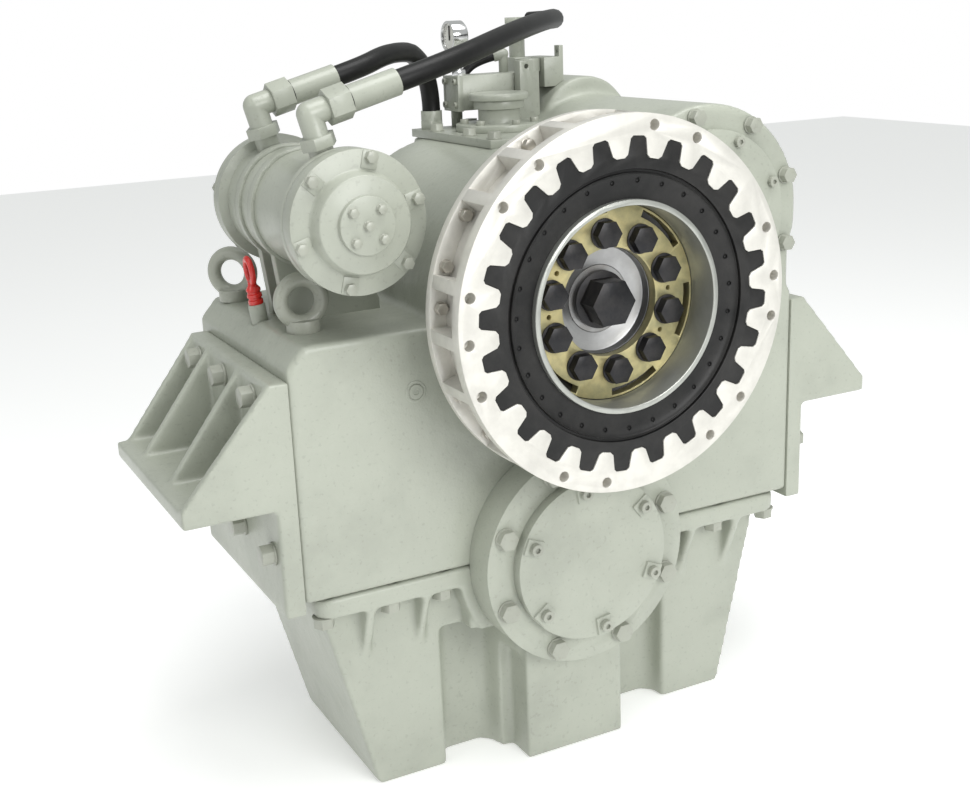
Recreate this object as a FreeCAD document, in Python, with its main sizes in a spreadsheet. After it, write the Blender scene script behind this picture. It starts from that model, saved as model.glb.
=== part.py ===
import FreeCAD, Part
import math
import os
import Sketcher

# Marine gearbox with a rubber block coupling at the front, an oil cooler on top and a V-shaped sump.
# Frame: +Z up, -Y towards the engine, X = 0 through both main shafts, Z = 0 under the sump.
# Lengths are millimetres and angles are degrees.

SIZES = {
    # shaft lines
    "input_height": 658, "shaft_distance": 355, "side_distance": 240, "side_angle": 15.7,
    # overall stations along the shafts
    "front_reach": 395, "rear_reach": 395,
    # upper casting
    "block_half_width": 378, "block_front": 237, "block_rear": 125, "block_top": 632,
    "casting_wall": 15, "rim_width": 42, "rim_height": 30, "edge_round": 10,
    "barrel_radius": 171, "barrel_rear": 108, "nose_radius": 120, "nose_rear": 200,
    "lobe_radius": 151, "lobe_rear": 190, "side_wall_reach": 371,
    "hump_radius": 78, "hump_x": 226, "hump_height": 824, "hump_front": 62, "hump_rear": 150,
    "shoulder_drop": 26, "shoulder_width": 24,
    # sump
    "sump_top_half": 349, "sump_bottom_half": 283, "sump_front": 200, "sump_rear_top": 92,
    "sump_rear_bottom": 71, "sump_floor": 12, "flange_half": 363, "flange_thickness": 27,
    "flange_corner": 24, "keel_half": 76.5, "keel_front": 250, "keel_height": 208,
    "flute_back": 166, "flute_inner": 104, "flute_outer": 180.4, "flute_round": 22,
    "lug_reach": 150, "lug_front": 228, "drain_radius": 14, "drain_height": 40,
    "gusset_thickness": 12, "gusset_drop": 91, "saddle_radius": 166,
    # side mounting brackets
    "bracket_reach": 520, "bracket_plate": 26.5, "bracket_top": 592, "bracket_bottom": 290,
    "bracket_rear": 93, "foot_height": 432.5, "foot_thickness": 23, "rib_thickness": 13,
    "second_rib": 129.5, "third_rib": -0.5, "rib_setback": 15, "upper_bolt_height": 567,
    "lower_bolt_height": 370,
    # output bearing carrier at the front
    "carrier_radius": 150.5, "carrier_depth": 51, "carrier_bolt_circle": 132.8,
    "cover_radius": 112, "cover_depth": 20, "cover_screw_circle": 97.5,
    # side shaft front cover
    "spigot_radius": 118, "idler_pin_radius": 24,
    "lobe_cover_radius": 118, "lobe_cover_depth": 9, "lobe_screw_circle": 107,
    "lobe_bolt_circle": 137,
    # input bearing cover
    "input_cover_radius": 118, "input_cover_depth": 22,
    # rear parts
    "rear_cover_depth": 18, "rear_cover_radius": 118, "thrust_radius": 126, "thrust_depth": 150, "thrust_flange": 168,
    "thrust_flange_depth": 24, "pump_radius": 62, "pump_depth": 74,
    # shafts and bearings
    "input_shaft_radius": 42, "side_shaft_radius": 36, "output_shaft_radius": 60,
    "bearing_step": 12, "bearing_wall": 14, "bearing_width": 32, "running_gap": 0.05,
    "seat_gap": 0.02,
    # gears
    "gear_module": 10, "ahead_wheel_teeth": 55, "ahead_pinion_teeth": 16,
    "astern_wheel_teeth": 48, "astern_pinion_teeth": 14, "idler_teeth": 15, "drum_teeth": 24,
    "tooth_slack": 0.18, "gear_face": 46, "ahead_plane": 125, "astern_plane": 70,
    "drum_plane": 192,
    # rubber block coupling
    "ring_radius": 228.3, "ring_depth": 86, "ring_flange": 17, "ring_pocket_radius": 207,
    "ring_bolt_circle": 215.5, "ring_hole_radius": 6.6, "coupling_teeth": 24,
    "tooth_tip_radius": 177.5, "tooth_root_radius": 202.5, "tooth_gap": 0.25,
    "rubber_depth": 74, "rubber_groove": 164.6, "tooth_phase": 3.6, "retainer_depth": 12,
    "lip_radius": 122.3, "cup_wall": 7, "cup_depth": 52,
    "plate_depth": 45, "plate_thickness": 14, "plate_bore": 67, "slot_circle": 114,
    "slot_width": 9, "slot_span": 34, "plate_bolt_circle": 85.2, "hub_recess": 14,
    "hub_radius": 66, "washer_radius": 36, "washer_thickness": 8,
    # oil cooler
    "cooler_x": -283.8, "cooler_height": 773.9, "cooler_front": 262, "cooler_rear": 38,
    "cooler_cap_radius": 85.2, "cooler_cap_depth": 25, "cooler_flange_depth": 12,
    "cooler_body_radius": 72, "cooler_bolt_circle": 77, "port_tilt": 15,
    "front_port": 210, "rear_port": 12, "port_radius": 15, "elbow_height": 128,
    "fitting_reach": 116,
    # lifting eyes
    "eye_major": 26.6, "eye_minor": 9.3, "eye_collar": 21, "eye_collar_height": 15,
    # dipstick
    "dip_x": -349, "dip_y": -56, "dip_lean": 7, "dip_length": 480,
    "dip_tube_radius": 11,
    # top cover, neck and controls
    "top_plate_height": 838, "top_plate_thickness": 11, "top_plate_left": -30,
    "top_plate_right": 128, "top_plate_front": -110, "top_plate_rear": 140,
    "neck_x": 56, "neck_y": 25, "neck_flange": 62, "neck_radius": 30, "cap_radius": 42.7,
    "cap_top": 890, "valve_left": 15, "valve_front": 72, "valve_rear": 118, "valve_bottom": 864, "valve_size": 49,
    "gauge_radius": 22, "gauge_x": 22, "gauge_y": 88, "gauge_height": 968,
    # hoses
    "hose_radius": 13.5, "drain_hose_radius": 6.5,
}

# Hose routes: points chosen by hand, in the order that each hose runs.
FRONT_HOSE = [
    (-204.7, -210.0, 927.6), (-132.3, -210.0, 947.0), (-15.0, -140.0, 973.0),
    (75.0, -62.0, 985.0), (140.0, 10.0, 988.0), (172.0, 58.0, 986.0), (180.0, 96.0, 985.0),
    (166.0, 126.0, 984.0),
]
REAR_HOSE = [
    (-204.7, -12.0, 927.6), (-166.1, -12.0, 937.9), (-119.0, 18.0, 951.0), (-74.0, 56.0, 952.0),
    (-47.9, 81.0, 947.4), (-21.3, 105.7, 926.4), (-6.0, 120.0, 890.0), (-6.0, 120.0, 864.0),
]
DRAIN_HOSE = [
    (40.0, 129.0, 864.0), (40.0, 129.0, 888.0), (52.0, 128.5, 912.0), (72.0, 124.0, 930.0),
    (97.0, 114.0, 936.0),
]

Vector = FreeCAD.Vector
UPRIGHT = FreeCAD.Rotation()
REARWARD = FreeCAD.Rotation(Vector(1, 0, 0), -90)
FORWARD = FreeCAD.Rotation(Vector(1, 0, 0), 90)
RIGHTWARD = FreeCAD.Rotation(Vector(0, 1, 0), 90)
LEFTWARD = FreeCAD.Rotation(Vector(0, 1, 0), -90)
DOWNWARD = FreeCAD.Rotation(Vector(1, 0, 0), 180)
PORT_TURN = FreeCAD.Rotation(Vector(0, 1, 0), -SIZES["port_tilt"])
LEG_TURN = FreeCAD.Rotation(Vector(0, 1, 0), 90 - SIZES["port_tilt"])
DIP_TURN = FreeCAD.Rotation(Vector(0, 1, 0), -SIZES["dip_lean"])


class Size:
    """A number together with the formula that ties it to the sheet of sizes."""

    def __init__(self, number, formula):
        self.number = float(number)
        self.formula = formula

    def __add__(self, other):
        other = size(other)
        return Size(self.number + other.number, "(%s + %s)" % (self.formula, other.formula))

    def __sub__(self, other):
        other = size(other)
        return Size(self.number - other.number, "(%s - %s)" % (self.formula, other.formula))

    def __mul__(self, other):
        other = size(other)
        return Size(self.number * other.number, "(%s * %s)" % (self.formula, other.formula))

    def __truediv__(self, other):
        other = size(other)
        return Size(self.number / other.number, "(%s / %s)" % (self.formula, other.formula))

    def __neg__(self):
        return Size(-self.number, "(-1 * %s)" % self.formula)

    def __radd__(self, other):
        return size(other) + self

    def __rsub__(self, other):
        return size(other) - self

    def __rmul__(self, other):
        return size(other) * self

    def __float__(self):
        return self.number


def size(amount):
    """A plain number as a Size, or a Size as it is."""
    if isinstance(amount, Size):
        return amount
    return Size(amount, "%.6f" % amount)


def cosine(angle):
    angle = size(angle)
    return Size(math.cos(math.radians(angle.number)), "cos(%s)" % angle.formula)


def sine(angle):
    angle = size(angle)
    return Size(math.sin(math.radians(angle.number)), "sin(%s)" % angle.formula)


class Sheet:
    """The sheet of driving sizes; each one is read back as an attribute."""

    def __init__(self, doc, sizes):
        self.sheet = doc.addObject("Spreadsheet::Sheet", "Sizes")
        for row, (alias, number) in enumerate(sizes.items(), 1):
            self.sheet.set("A%d" % row, alias)
            self.sheet.set("B%d" % row, str(number))
            self.sheet.setAlias("B%d" % row, alias)
            setattr(self, alias, Size(number, "Sizes.%s" % alias))


doc = FreeCAD.newDocument("marine_gearbox")
s = Sheet(doc, SIZES)
doc.recompute()

# Places worked out from the driving sizes.
output_height = s.input_height - s.shaft_distance
side_x = s.side_distance * cosine(s.side_angle)
side_height = s.input_height + s.side_distance * sine(s.side_angle)
front_wall = -s.block_front
inner_front = front_wall + s.casting_wall
inner_rear = s.block_rear - s.casting_wall
ring_face = -s.front_reach
carrier_front = front_wall - s.carrier_depth
plate_face = ring_face + s.plate_depth
hub_front = plate_face + s.plate_thickness
INPUT = (0, s.input_height)
OUTPUT = (0, output_height)
SIDE = (side_x, side_height)

nodes = []


def tie(thing, prop, amount):
    """Bind one property of an object to a formula on the sheet."""
    thing.setExpression(prop, size(amount).formula)


def place(thing, x=0, y=0, z=0, turn=UPRIGHT):
    """Turn an object and bind its place to the sheet."""
    at = Vector(float(size(x)), float(size(y)), float(size(z)))
    thing.Placement = FreeCAD.Placement(at, turn)
    tie(thing, "Placement.Base.x", x)
    tie(thing, "Placement.Base.y", y)
    tie(thing, "Placement.Base.z", z)
    return thing


def rod(name, radius, length, x=0, y=0, z=0, turn=UPRIGHT):
    """A cylinder that starts at a point and runs along the turned Z axis."""
    thing = doc.addObject("Part::Cylinder", name)
    tie(thing, "Radius", radius)
    tie(thing, "Height", length)
    return place(thing, x, y, z, turn)


def hexagon(name, across_flats, height, x=0, y=0, z=0, turn=UPRIGHT):
    """A hexagonal prism given by its width across flats."""
    thing = doc.addObject("Part::Prism", name)
    thing.Polygon = 6
    tie(thing, "Circumradius", size(across_flats) / math.sqrt(3))
    tie(thing, "Height", height)
    return place(thing, x, y, z, turn)


def block(name, x0, x1, y0, y1, z0, z1):
    """A box between two corners."""
    thing = doc.addObject("Part::Box", name)
    tie(thing, "Length", size(x1) - x0)
    tie(thing, "Width", size(y1) - y0)
    tie(thing, "Height", size(z1) - z0)
    return place(thing, x0, y0, z0)


def fuse(name, things):
    thing = doc.addObject("Part::MultiFuse", name)
    thing.Shapes = things
    thing.Refine = True
    return thing


def cut(name, base, tools):
    """A shape less one tool, or less several joined together."""
    if len(tools) == 1:
        tool = tools[0]
    else:
        tool = doc.addObject("Part::Compound", name + "_tools")
        tool.Links = tools
    thing = doc.addObject("Part::Cut", name)
    thing.Base = base
    thing.Tool = tool
    return thing


def tube(name, outer, inner, length, x=0, y=0, z=0, turn=UPRIGHT):
    """A round ring with a plain bore."""
    solid = rod(name + "_outer", outer, length, x, y, z, turn)
    bore = rod(name + "_bore", inner, length, x, y, z, turn)
    return cut(name, solid, [bore])


def outline_sketch(body, name, plane, points):
    """A closed sketch of straight lines, with each corner bound to the sheet."""
    sketch = body.newObject("Sketcher::SketchObject", name)
    support = [f for f in body.Origin.OriginFeatures if f.Role == plane][0]
    sketch.AttachmentSupport = [(support, "")]
    sketch.MapMode = "FlatFace"
    corners = [(size(u), size(v)) for u, v in points]
    flat = [Vector(u.number, v.number, 0) for u, v in corners]
    for i, corner in enumerate(flat):
        sketch.addGeometry(Part.LineSegment(corner, flat[(i + 1) % len(flat)]), False)
    for i in range(len(flat)):
        follower = (i + 1) % len(flat)
        sketch.addConstraint(Sketcher.Constraint("Coincident", i, 2, follower, 1))
    for i, (u, v) in enumerate(corners):
        for kind, amount, axis in (("DistanceX", u, -2), ("DistanceY", v, -1)):
            if amount.number == 0:
                sketch.addConstraint(Sketcher.Constraint("PointOnObject", i, 1, axis))
                continue
            bound = Sketcher.Constraint(kind, -1, 1, i, 1, amount.number)
            index = sketch.addConstraint(bound)
            sketch.setExpression("Constraints[%d]" % index, amount.formula)
    return sketch


def turned(name, outline, x=0, y=0, z=0, turn=UPRIGHT):
    """A turned piece: an outline of (radius, station) points spun about its own Z axis."""
    body = doc.addObject("PartDesign::Body", name)
    sketch = outline_sketch(body, name + "_outline", "XZ_Plane", outline)
    spin = body.newObject("PartDesign::Revolution", name + "_spin")
    spin.Profile = sketch
    spin.ReferenceAxis = (sketch, ["V_Axis"])
    spin.Angle = 360
    body.Tip = spin
    return place(body, x, y, z, turn)


def sawn(name, outline, start, depth, plane="XZ_Plane", x=0, y=0, z=0):
    """A plate of constant thickness: a front view (XZ), a side view (YZ) or a plan (XY)."""
    body = doc.addObject("PartDesign::Body", name)
    sketch = outline_sketch(body, name + "_outline", plane, outline)
    pad = body.newObject("PartDesign::Pad", name + "_pad")
    pad.Profile = sketch
    pad.Reversed = plane == "XZ_Plane"
    tie(pad, "Length", depth)
    body.Tip = pad
    if plane == "XZ_Plane":
        return place(body, x, size(y) + start, z)
    if plane == "YZ_Plane":
        return place(body, size(x) + start, y, z)
    return place(body, x, y, size(z) + start)


def rounded(name, base, radius, keep):
    """Round the edges for which keep(middle, direction) is true."""
    doc.recompute()
    thing = doc.addObject("Part::Fillet", name)
    thing.Base = base
    chosen = []
    for i, edge in enumerate(base.Shape.Edges, 1):
        if isinstance(edge.Curve, Part.Line) and keep(edge.CenterOfMass, edge.Curve.Direction):
            chosen.append((i, float(size(radius)), float(size(radius))))
    thing.Edges = chosen
    return thing


def copies(name, pattern, spots, turn=UPRIGHT):
    """Copies of one pattern piece, each with its place bound to the sheet."""
    links = []
    for i, (x, y, z) in enumerate(spots):
        link = doc.addObject("App::Link", "%s_%d" % (name, i))
        link.LinkedObject = pattern
        links.append(place(link, x, y, z, turn))
    thing = doc.addObject("Part::Compound", name)
    thing.Links = links
    return thing


def circle(centre, radius, station, first, step, count):
    """Places on a bolt circle in a plane across the shafts."""
    spots = []
    for i in range(count):
        angle = size(first) + i * size(step)
        spots.append((centre[0] + size(radius) * cosine(angle), station,
                      centre[1] + size(radius) * sine(angle)))
    return spots


def hex_bolt(name, across, head, washer, shank, length):
    """A hex bolt at the origin: the seat at Z = 0, the head below it, the shank above."""
    pieces = [hexagon(name + "_head", across, head, 0, 0, -size(head) - washer),
              rod(name + "_washer", size(across) * 0.62, washer, 0, 0, -size(washer)),
              rod(name + "_shank", shank, length)]
    return fuse(name, pieces)


def socket_screw(name, radius, head, key, shank, length):
    """A socket head screw at the origin: the seat at Z = 0, the head below it."""
    top = rod(name + "_head", radius, head, 0, 0, -size(head))
    socket = hexagon(name + "_key", key, size(head) * 0.5, 0, 0, -size(head))
    shaft = rod(name + "_shank", shank, length)
    return fuse(name, [cut(name + "_bored", top, [socket]), shaft])


def node(name, thing):
    """Name a finished sub-part and keep it for writing."""
    thing.Label = name
    nodes.append(thing)
    return thing


def plain_solid(name, shape):
    """An object whose shape is set directly; its sizes are read from the sheet."""
    thing = doc.addObject("Part::Feature", name + "_shape")
    thing.Shape = shape
    thing.Placement = FreeCAD.Placement()
    return thing


def solid_node(name, shape):
    return node(name, plain_solid(name, shape))


# Gears


def involute(angle):
    return math.tan(angle) - angle


def tooth_outline(teeth, phase):
    """Corners of a spur gear with straight-sided teeth that stay inside true involute ones."""
    module = float(s.gear_module)
    pitch = module * teeth / 2
    tip = pitch + module
    root = pitch - 1.25 * module
    pressure = math.radians(20)
    base = pitch * math.cos(pressure)
    half = math.pi / (2 * teeth) + involute(pressure) - float(s.tooth_slack) / pitch
    foot = half - involute(math.acos(min(1.0, base / max(base, root))))
    nose = half - involute(math.acos(base / tip))
    corners = []
    for i in range(teeth):
        middle = math.radians(phase) + 2 * math.pi * i / teeth
        for radius, offset in ((root, -foot), (tip, -nose), (tip, nose), (root, foot)):
            angle = middle + offset
            corners.append((radius * math.cos(angle), radius * math.sin(angle)))
    return corners


def matching_phase(teeth, phase, other_teeth, direction):
    """Phase of a gear that meshes with one of known phase; direction points to its centre."""
    past = (direction - phase) * teeth / 360.0
    return direction + 180 - (0.5 - past) * 360.0 / other_teeth


def gear_blank(teeth, phase, centre, front, face, bore):
    """A spur gear in the plane across the shafts."""
    x, z = float(size(centre[0])), float(size(centre[1]))
    y = float(size(front))
    corners = [Vector(x + u, y, z + v) for u, v in tooth_outline(teeth, phase)]
    wire = Part.makePolygon(corners + corners[:1])
    disc = Part.Face(wire).extrude(Vector(0, float(size(face)), 0))
    hole = Part.makeCylinder(float(size(bore)), float(size(face)), Vector(x, y, z),
                             Vector(0, 1, 0))
    return disc.cut(hole)


def line_angle(start, end):
    """Angle of the line between two shaft centres, from +X towards +Z."""
    return math.degrees(math.atan2(float(size(end[1])) - float(size(start[1])),
                                   float(size(end[0])) - float(size(start[0]))))


def pitch_radius(teeth):
    return float(s.gear_module) * float(teeth) / 2


def idler_centre():
    """The idler meshes with the astern pinion above and with the astern wheel below."""
    upper = pitch_radius(s.astern_pinion_teeth) + pitch_radius(s.idler_teeth)
    lower = pitch_radius(s.astern_wheel_teeth) + pitch_radius(s.idler_teeth)
    span = float(s.shaft_distance)
    rise = (lower ** 2 - upper ** 2 + span ** 2) / (2 * span)
    return math.sqrt(lower ** 2 - rise ** 2), float(output_height) + rise


IDLER = idler_centre()


# Castings


def upper_housing(holes):
    """The upper casting: a wide block, the input barrel, the side lobe and their walls."""
    half = s.block_half_width
    low = s.block_top - s.shoulder_drop
    narrow = half - s.shoulder_width
    depth = s.block_rear + s.block_front
    outline = [(-half, output_height), (half, output_height), (half, low),
               (narrow, s.block_top), (-narrow, s.block_top), (-half, low)]
    pad_top = s.top_plate_height - s.top_plate_thickness
    outside = fuse("upper_outside", [
        sawn("upper_block", outline, front_wall, depth),
        rod("barrel", s.barrel_radius, s.barrel_rear + s.block_front, 0, front_wall,
            s.input_height, REARWARD),
        rod("nose", s.nose_radius, s.nose_rear + s.block_front, 0, front_wall,
            s.input_height, REARWARD),
        rod("lobe", s.lobe_radius, s.lobe_rear + s.block_front, side_x, front_wall,
            side_height, REARWARD),
        block("side_wall", 0, s.side_wall_reach, front_wall, s.block_rear, low, side_height),
        rod("hump", s.hump_radius, s.hump_rear - s.hump_front, s.hump_x, s.hump_front,
            s.hump_height, REARWARD),
        block("top_pad", s.top_plate_left, s.top_plate_right, s.top_plate_front,
              s.top_plate_rear, s.input_height + 90, pad_top),
    ])
    inner_half = half - s.casting_wall
    rim_half = half - s.rim_width
    rim_top = output_height + s.rim_height
    nose_inside = s.nose_rear - s.bearing_width - 3
    lobe_inside = s.lobe_rear - s.bearing_width - 3
    inside = [
        block("upper_room", -inner_half, inner_half, inner_front, inner_rear, rim_top,
              s.block_top - s.casting_wall),
        block("rim_opening", -rim_half, rim_half, front_wall + s.rim_width,
              s.block_rear - s.rim_width, output_height, rim_top),
        rod("barrel_room", s.barrel_radius - s.casting_wall, s.barrel_rear + s.block_front
            - s.casting_wall * 2, 0, inner_front, s.input_height, REARWARD),
        rod("nose_room", s.nose_radius - s.casting_wall, nose_inside - inner_front, 0,
            inner_front, s.input_height, REARWARD),
        rod("lobe_room", s.lobe_radius - s.casting_wall, lobe_inside - inner_front, side_x,
            inner_front, side_height, REARWARD),
    ]
    hollow = cut("upper_hollow", outside, inside)
    boss_depth = s.bearing_width + 8
    walled = fuse("upper_walled", [
        hollow,
        rod("input_boss", bearing_outer(s.input_shaft_radius) + 20, boss_depth, 0,
            front_wall, s.input_height, REARWARD),
        rod("side_boss", bearing_outer(s.side_shaft_radius) + 20, boss_depth, side_x,
            front_wall, side_height, REARWARD),
        rod("idler_boss", s.idler_pin_radius + 14, 12, IDLER[0], inner_rear - 12, IDLER[1],
            REARWARD),
    ])
    reach = s.nose_rear + s.block_front
    input_bore = bearing_outer(s.input_shaft_radius) + s.seat_gap
    side_bore = bearing_outer(s.side_shaft_radius) + s.seat_gap
    bores = [
        rod("input_front_bore", input_bore, boss_depth, 0, front_wall, s.input_height,
            REARWARD),
        rod("input_rear_bore", input_bore, s.bearing_width + 3, 0, nose_inside,
            s.input_height, REARWARD),
        rod("side_front_bore", side_bore, boss_depth, side_x, front_wall, side_height,
            REARWARD),
        rod("side_rear_bore", side_bore, s.bearing_width + 3, side_x, lobe_inside,
            side_height, REARWARD),
        rod("upper_output_bore", s.spigot_radius + s.seat_gap, reach, 0, front_wall,
            output_height, REARWARD),
        rod("dip_hole", s.dip_tube_radius + s.seat_gap, 60, s.dip_x + 40 * sine(s.dip_lean),
            s.dip_y, s.block_top - 40 * cosine(s.dip_lean), DIP_TURN),
        rod("idler_hole", s.idler_pin_radius + s.seat_gap, 25, IDLER[0], inner_rear - 12,
            IDLER[1], REARWARD),
        block("pad_flat", s.top_plate_left, s.top_plate_right, s.top_plate_front,
              s.top_plate_rear, pad_top, pad_top + 30),
        rod("neck_hole", s.neck_radius - 6, 60, s.neck_x, s.neck_y, pad_top - 50),
    ]
    return node("upper_housing", cut("upper_bored", walled, bores + holes))


def bearing_outer(shaft):
    """Outer radius of the bearing that sits on a shaft of this radius."""
    return shaft + s.bearing_step + s.bearing_wall


def tapered(name, half_low, half_high, rear_low, rear_high, front, z0, z1):
    """A trough-shaped block whose sides and back lean outwards."""
    thing = doc.addObject("Part::Wedge", name)
    for prop, amount in (("Xmin", -half_low), ("Xmax", half_low), ("X2min", -half_high),
                         ("X2max", half_high), ("Zmin", -rear_low), ("Zmax", front),
                         ("Z2min", -rear_high), ("Z2max", front), ("Ymin", 0),
                         ("Ymax", size(z1) - z0)):
        tie(thing, prop, amount)
    return place(thing, 0, 0, z0, FORWARD)


def drain_face():
    """Station of the leaning rear wall at the drain plug."""
    lean = (s.sump_rear_top - s.sump_rear_bottom) / (output_height - s.flange_thickness)
    return s.sump_rear_bottom + lean * s.drain_height - 2


def lower_case(holes):
    """The lower casting: a V-shaped oil sump with a keel, two flutes and a bolted flange."""
    top = output_height - s.flange_thickness
    flange = block("sump_flange", -s.flange_half, s.flange_half, front_wall, s.block_rear,
                   top, output_height)
    flange = rounded("sump_flange_round", flange, s.flange_corner,
                     lambda middle, way: abs(way.z) > 0.9)
    gussets = []
    for side in (-1, 1):
        for offset in (290, 211):
            outline = [(front_wall, top), (-s.sump_front + 1, top),
                       (-s.sump_front + 1, top - s.gusset_drop)]
            gussets.append(sawn("gusset_%d_%d" % (side, offset), outline,
                                side * offset - s.gusset_thickness / 2,
                                s.gusset_thickness, "YZ_Plane"))
    lugs = [block("lug_left", -s.lug_reach, -s.keel_half, -s.lug_front, -s.flute_back + 5,
                  s.keel_height, top),
            block("lug_right", s.keel_half, s.lug_reach, -s.lug_front, -s.flute_back + 5,
                  s.keel_height, top)]
    saddle = cut("front_saddle_half", rod("front_saddle", s.saddle_radius, 60, 0, front_wall,
                                          output_height, REARWARD),
                 [block("above_seam", -s.block_half_width, s.block_half_width, front_wall - 1,
                        s.block_rear, output_height, s.block_top)])
    rear_saddle = cut("rear_saddle_half", rod("rear_saddle", s.thrust_flange + 4, 40, 0,
                                              s.block_rear - 40, output_height, REARWARD),
                      [block("above_rear_seam", -s.block_half_width, s.block_half_width,
                             front_wall - 1, s.block_rear + 1, output_height, s.block_top)])
    outside = fuse("sump_outside", [
        tapered("sump_body", s.sump_bottom_half, s.sump_top_half, s.sump_rear_bottom,
                s.sump_rear_top, s.sump_front, 0, top + 1),
        block("keel", -s.keel_half, s.keel_half, -s.keel_front, -s.flute_back + 5, 0,
              s.keel_height),
        flange, saddle, rear_saddle] + gussets + lugs)
    flutes = []
    for side in (-1, 1):
        outline = [(side * s.flute_outer, -s.keel_front - 10),
                   (side * s.flute_outer, -s.sump_front),
                   (side * (s.flute_outer - 5), -s.flute_back),
                   (side * s.flute_inner, -s.flute_back),
                   (side * s.keel_half, -s.keel_front),
                   (side * s.keel_half, -s.keel_front - 10)]
        tool = sawn("flute_%d" % side, outline, 0, s.keel_height, "XY_Plane")
        back = -float(s.flute_back)
        flutes.append(rounded("flute_round_%d" % side, tool, s.flute_round,
                              lambda middle, way: abs(way.z) > 0.9
                              and abs(middle.y - back) < 0.5))
    wall = s.sump_floor
    inside = [
        tapered("sump_room", s.sump_bottom_half - wall, s.sump_top_half - wall,
                s.sump_rear_bottom - wall, s.sump_rear_top - wall,
                s.flute_back - wall, wall, output_height),
        block("left_pocket", -s.sump_bottom_half + wall, -s.flute_outer - wall,
              -s.sump_front + wall, -s.flute_back + wall * 2, wall, top - 10),
        block("right_pocket", s.flute_outer + wall, s.sump_bottom_half - wall,
              -s.sump_front + wall, -s.flute_back + wall * 2, wall, top - 10),
        rod("lower_output_bore", s.spigot_radius + s.seat_gap, s.block_rear + s.block_front,
            0, front_wall, output_height, REARWARD),
        rod("carrier_relief", s.carrier_radius + 1, s.carrier_depth, 0, carrier_front,
            output_height, REARWARD),
        rod("drain_hole", s.drain_radius, 60, 0, s.sump_rear_bottom - 30, s.drain_height,
            REARWARD),
        rod("drain_seat", s.drain_radius + 6, 20, 0, drain_face(), s.drain_height, REARWARD),
    ]
    return node("lower_case", cut("sump_bored", outside, flutes + inside + holes))


def side_bracket(side, name, holes):
    """An engine-bed bracket: a wall plate, a foot and four sloping ribs."""
    near = s.block_half_width
    face = near + s.bracket_plate
    far = s.bracket_reach
    foot_top = s.foot_height + s.foot_thickness
    length = s.bracket_rear + s.block_front

    def flip(outline):
        return [(side * size(x), z) for x, z in outline]

    pieces = [
        sawn(name + "_plate", flip([(near, s.bracket_bottom), (face, s.bracket_bottom),
                                    (face, s.bracket_top), (near, s.bracket_top)]),
             front_wall, length),
        sawn(name + "_foot", flip([(near, s.foot_height), (far, s.foot_height),
                                   (far, foot_top), (near, foot_top)]), front_wall, length),
    ]
    starts = [front_wall, -s.second_rib, -s.third_rib, s.bracket_rear - s.rib_thickness]
    for i, start in enumerate(starts):
        toe = far if i == 0 else far - s.rib_setback
        rib = [(near, foot_top - 1), (toe, foot_top - 1), (toe, foot_top),
               (face - 3, s.bracket_top), (near, s.bracket_top)]
        pieces.append(sawn("%s_rib_%d" % (name, i), flip(rib), start, s.rib_thickness))
    return node(name, cut(name + "_drilled", fuse(name + "_body", pieces), holes))


# Fasteners, each family with the holes that it needs


def family(name, pattern, spots, turn, radius, depth):
    """Copies of one bolt on their places, and drill tools for the same places."""
    group = copies(name, pattern, spots, turn)
    holes = []
    for i, (x, y, z) in enumerate(spots):
        holes.append(rod("%s_hole_%d" % (name, i), size(radius) + s.seat_gap, depth, x, y, z,
                         turn))
    return group, holes


def grouped(name, things):
    """Several pieces that share one node as separate solids."""
    thing = doc.addObject("Part::Compound", name + "_group")
    thing.Links = things
    return node(name, thing)


def flange_bolts():
    low = output_height - s.flange_thickness
    bolt = hex_bolt("flange_bolt", 24, 12, 3, 8, s.flange_thickness + 22)
    spots = []
    for side in (-1, 1):
        for x in (350, 258, 184):
            spots.append((side * x, -218, low))
        for x in (350, 258, 190):
            spots.append((side * x, 109, low))
    group, holes = family("flange_bolts", bolt, spots, UPRIGHT, 8, s.flange_thickness + 22)
    return group, holes


def bracket_bolts():
    """Three hex bolts above each foot and three below it."""
    length = s.bracket_plate + 12
    bolt = hex_bolt("bracket_bolt", 24, 15, 3, 8, length)
    face = s.block_half_width + s.bracket_plate
    groups = []
    holes = {}
    for side, turn in ((-1, RIGHTWARD), (1, LEFTWARD)):
        spots = [(side * face, y, s.upper_bolt_height) for y in (-180, -61, 47)]
        spots += [(side * face, y, s.lower_bolt_height) for y in (-208, -90, 47)]
        group, holes[side] = family("bracket_bolts_%d" % side, bolt, spots, turn, 8, length)
        groups.append(group)
    grouped("bracket_bolts", groups)
    return holes


def carrier_bolts():
    length = s.carrier_depth + 10
    bolt = hex_bolt("carrier_bolt", 24, 10, 2, 8, length)
    spots = circle(OUTPUT, s.carrier_bolt_circle, carrier_front, 22.5, 45, 8)
    group, holes = family("carrier_bolt", bolt, spots, REARWARD, 8, length)
    return group, holes


def cover_screws():
    length = s.cover_depth + 12
    screw = socket_screw("cover_screw", 8, 8, 7, 5, length)
    spots = circle(OUTPUT, s.cover_screw_circle, carrier_front - s.cover_depth, 38, 60, 6)
    group, holes = family("cover_screw", screw, spots, REARWARD, 5, length)
    return group, holes


def input_cover_bolts():
    length = s.input_cover_depth + 12
    bolt = hex_bolt("input_cover_bolt", 17, 8, 2, 5, length)
    spots = circle(INPUT, 104, front_wall - s.input_cover_depth, 22.5, 45, 8)
    group, holes = family("input_cover_bolt", bolt, spots, REARWARD, 5, length)
    return group, holes


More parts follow.
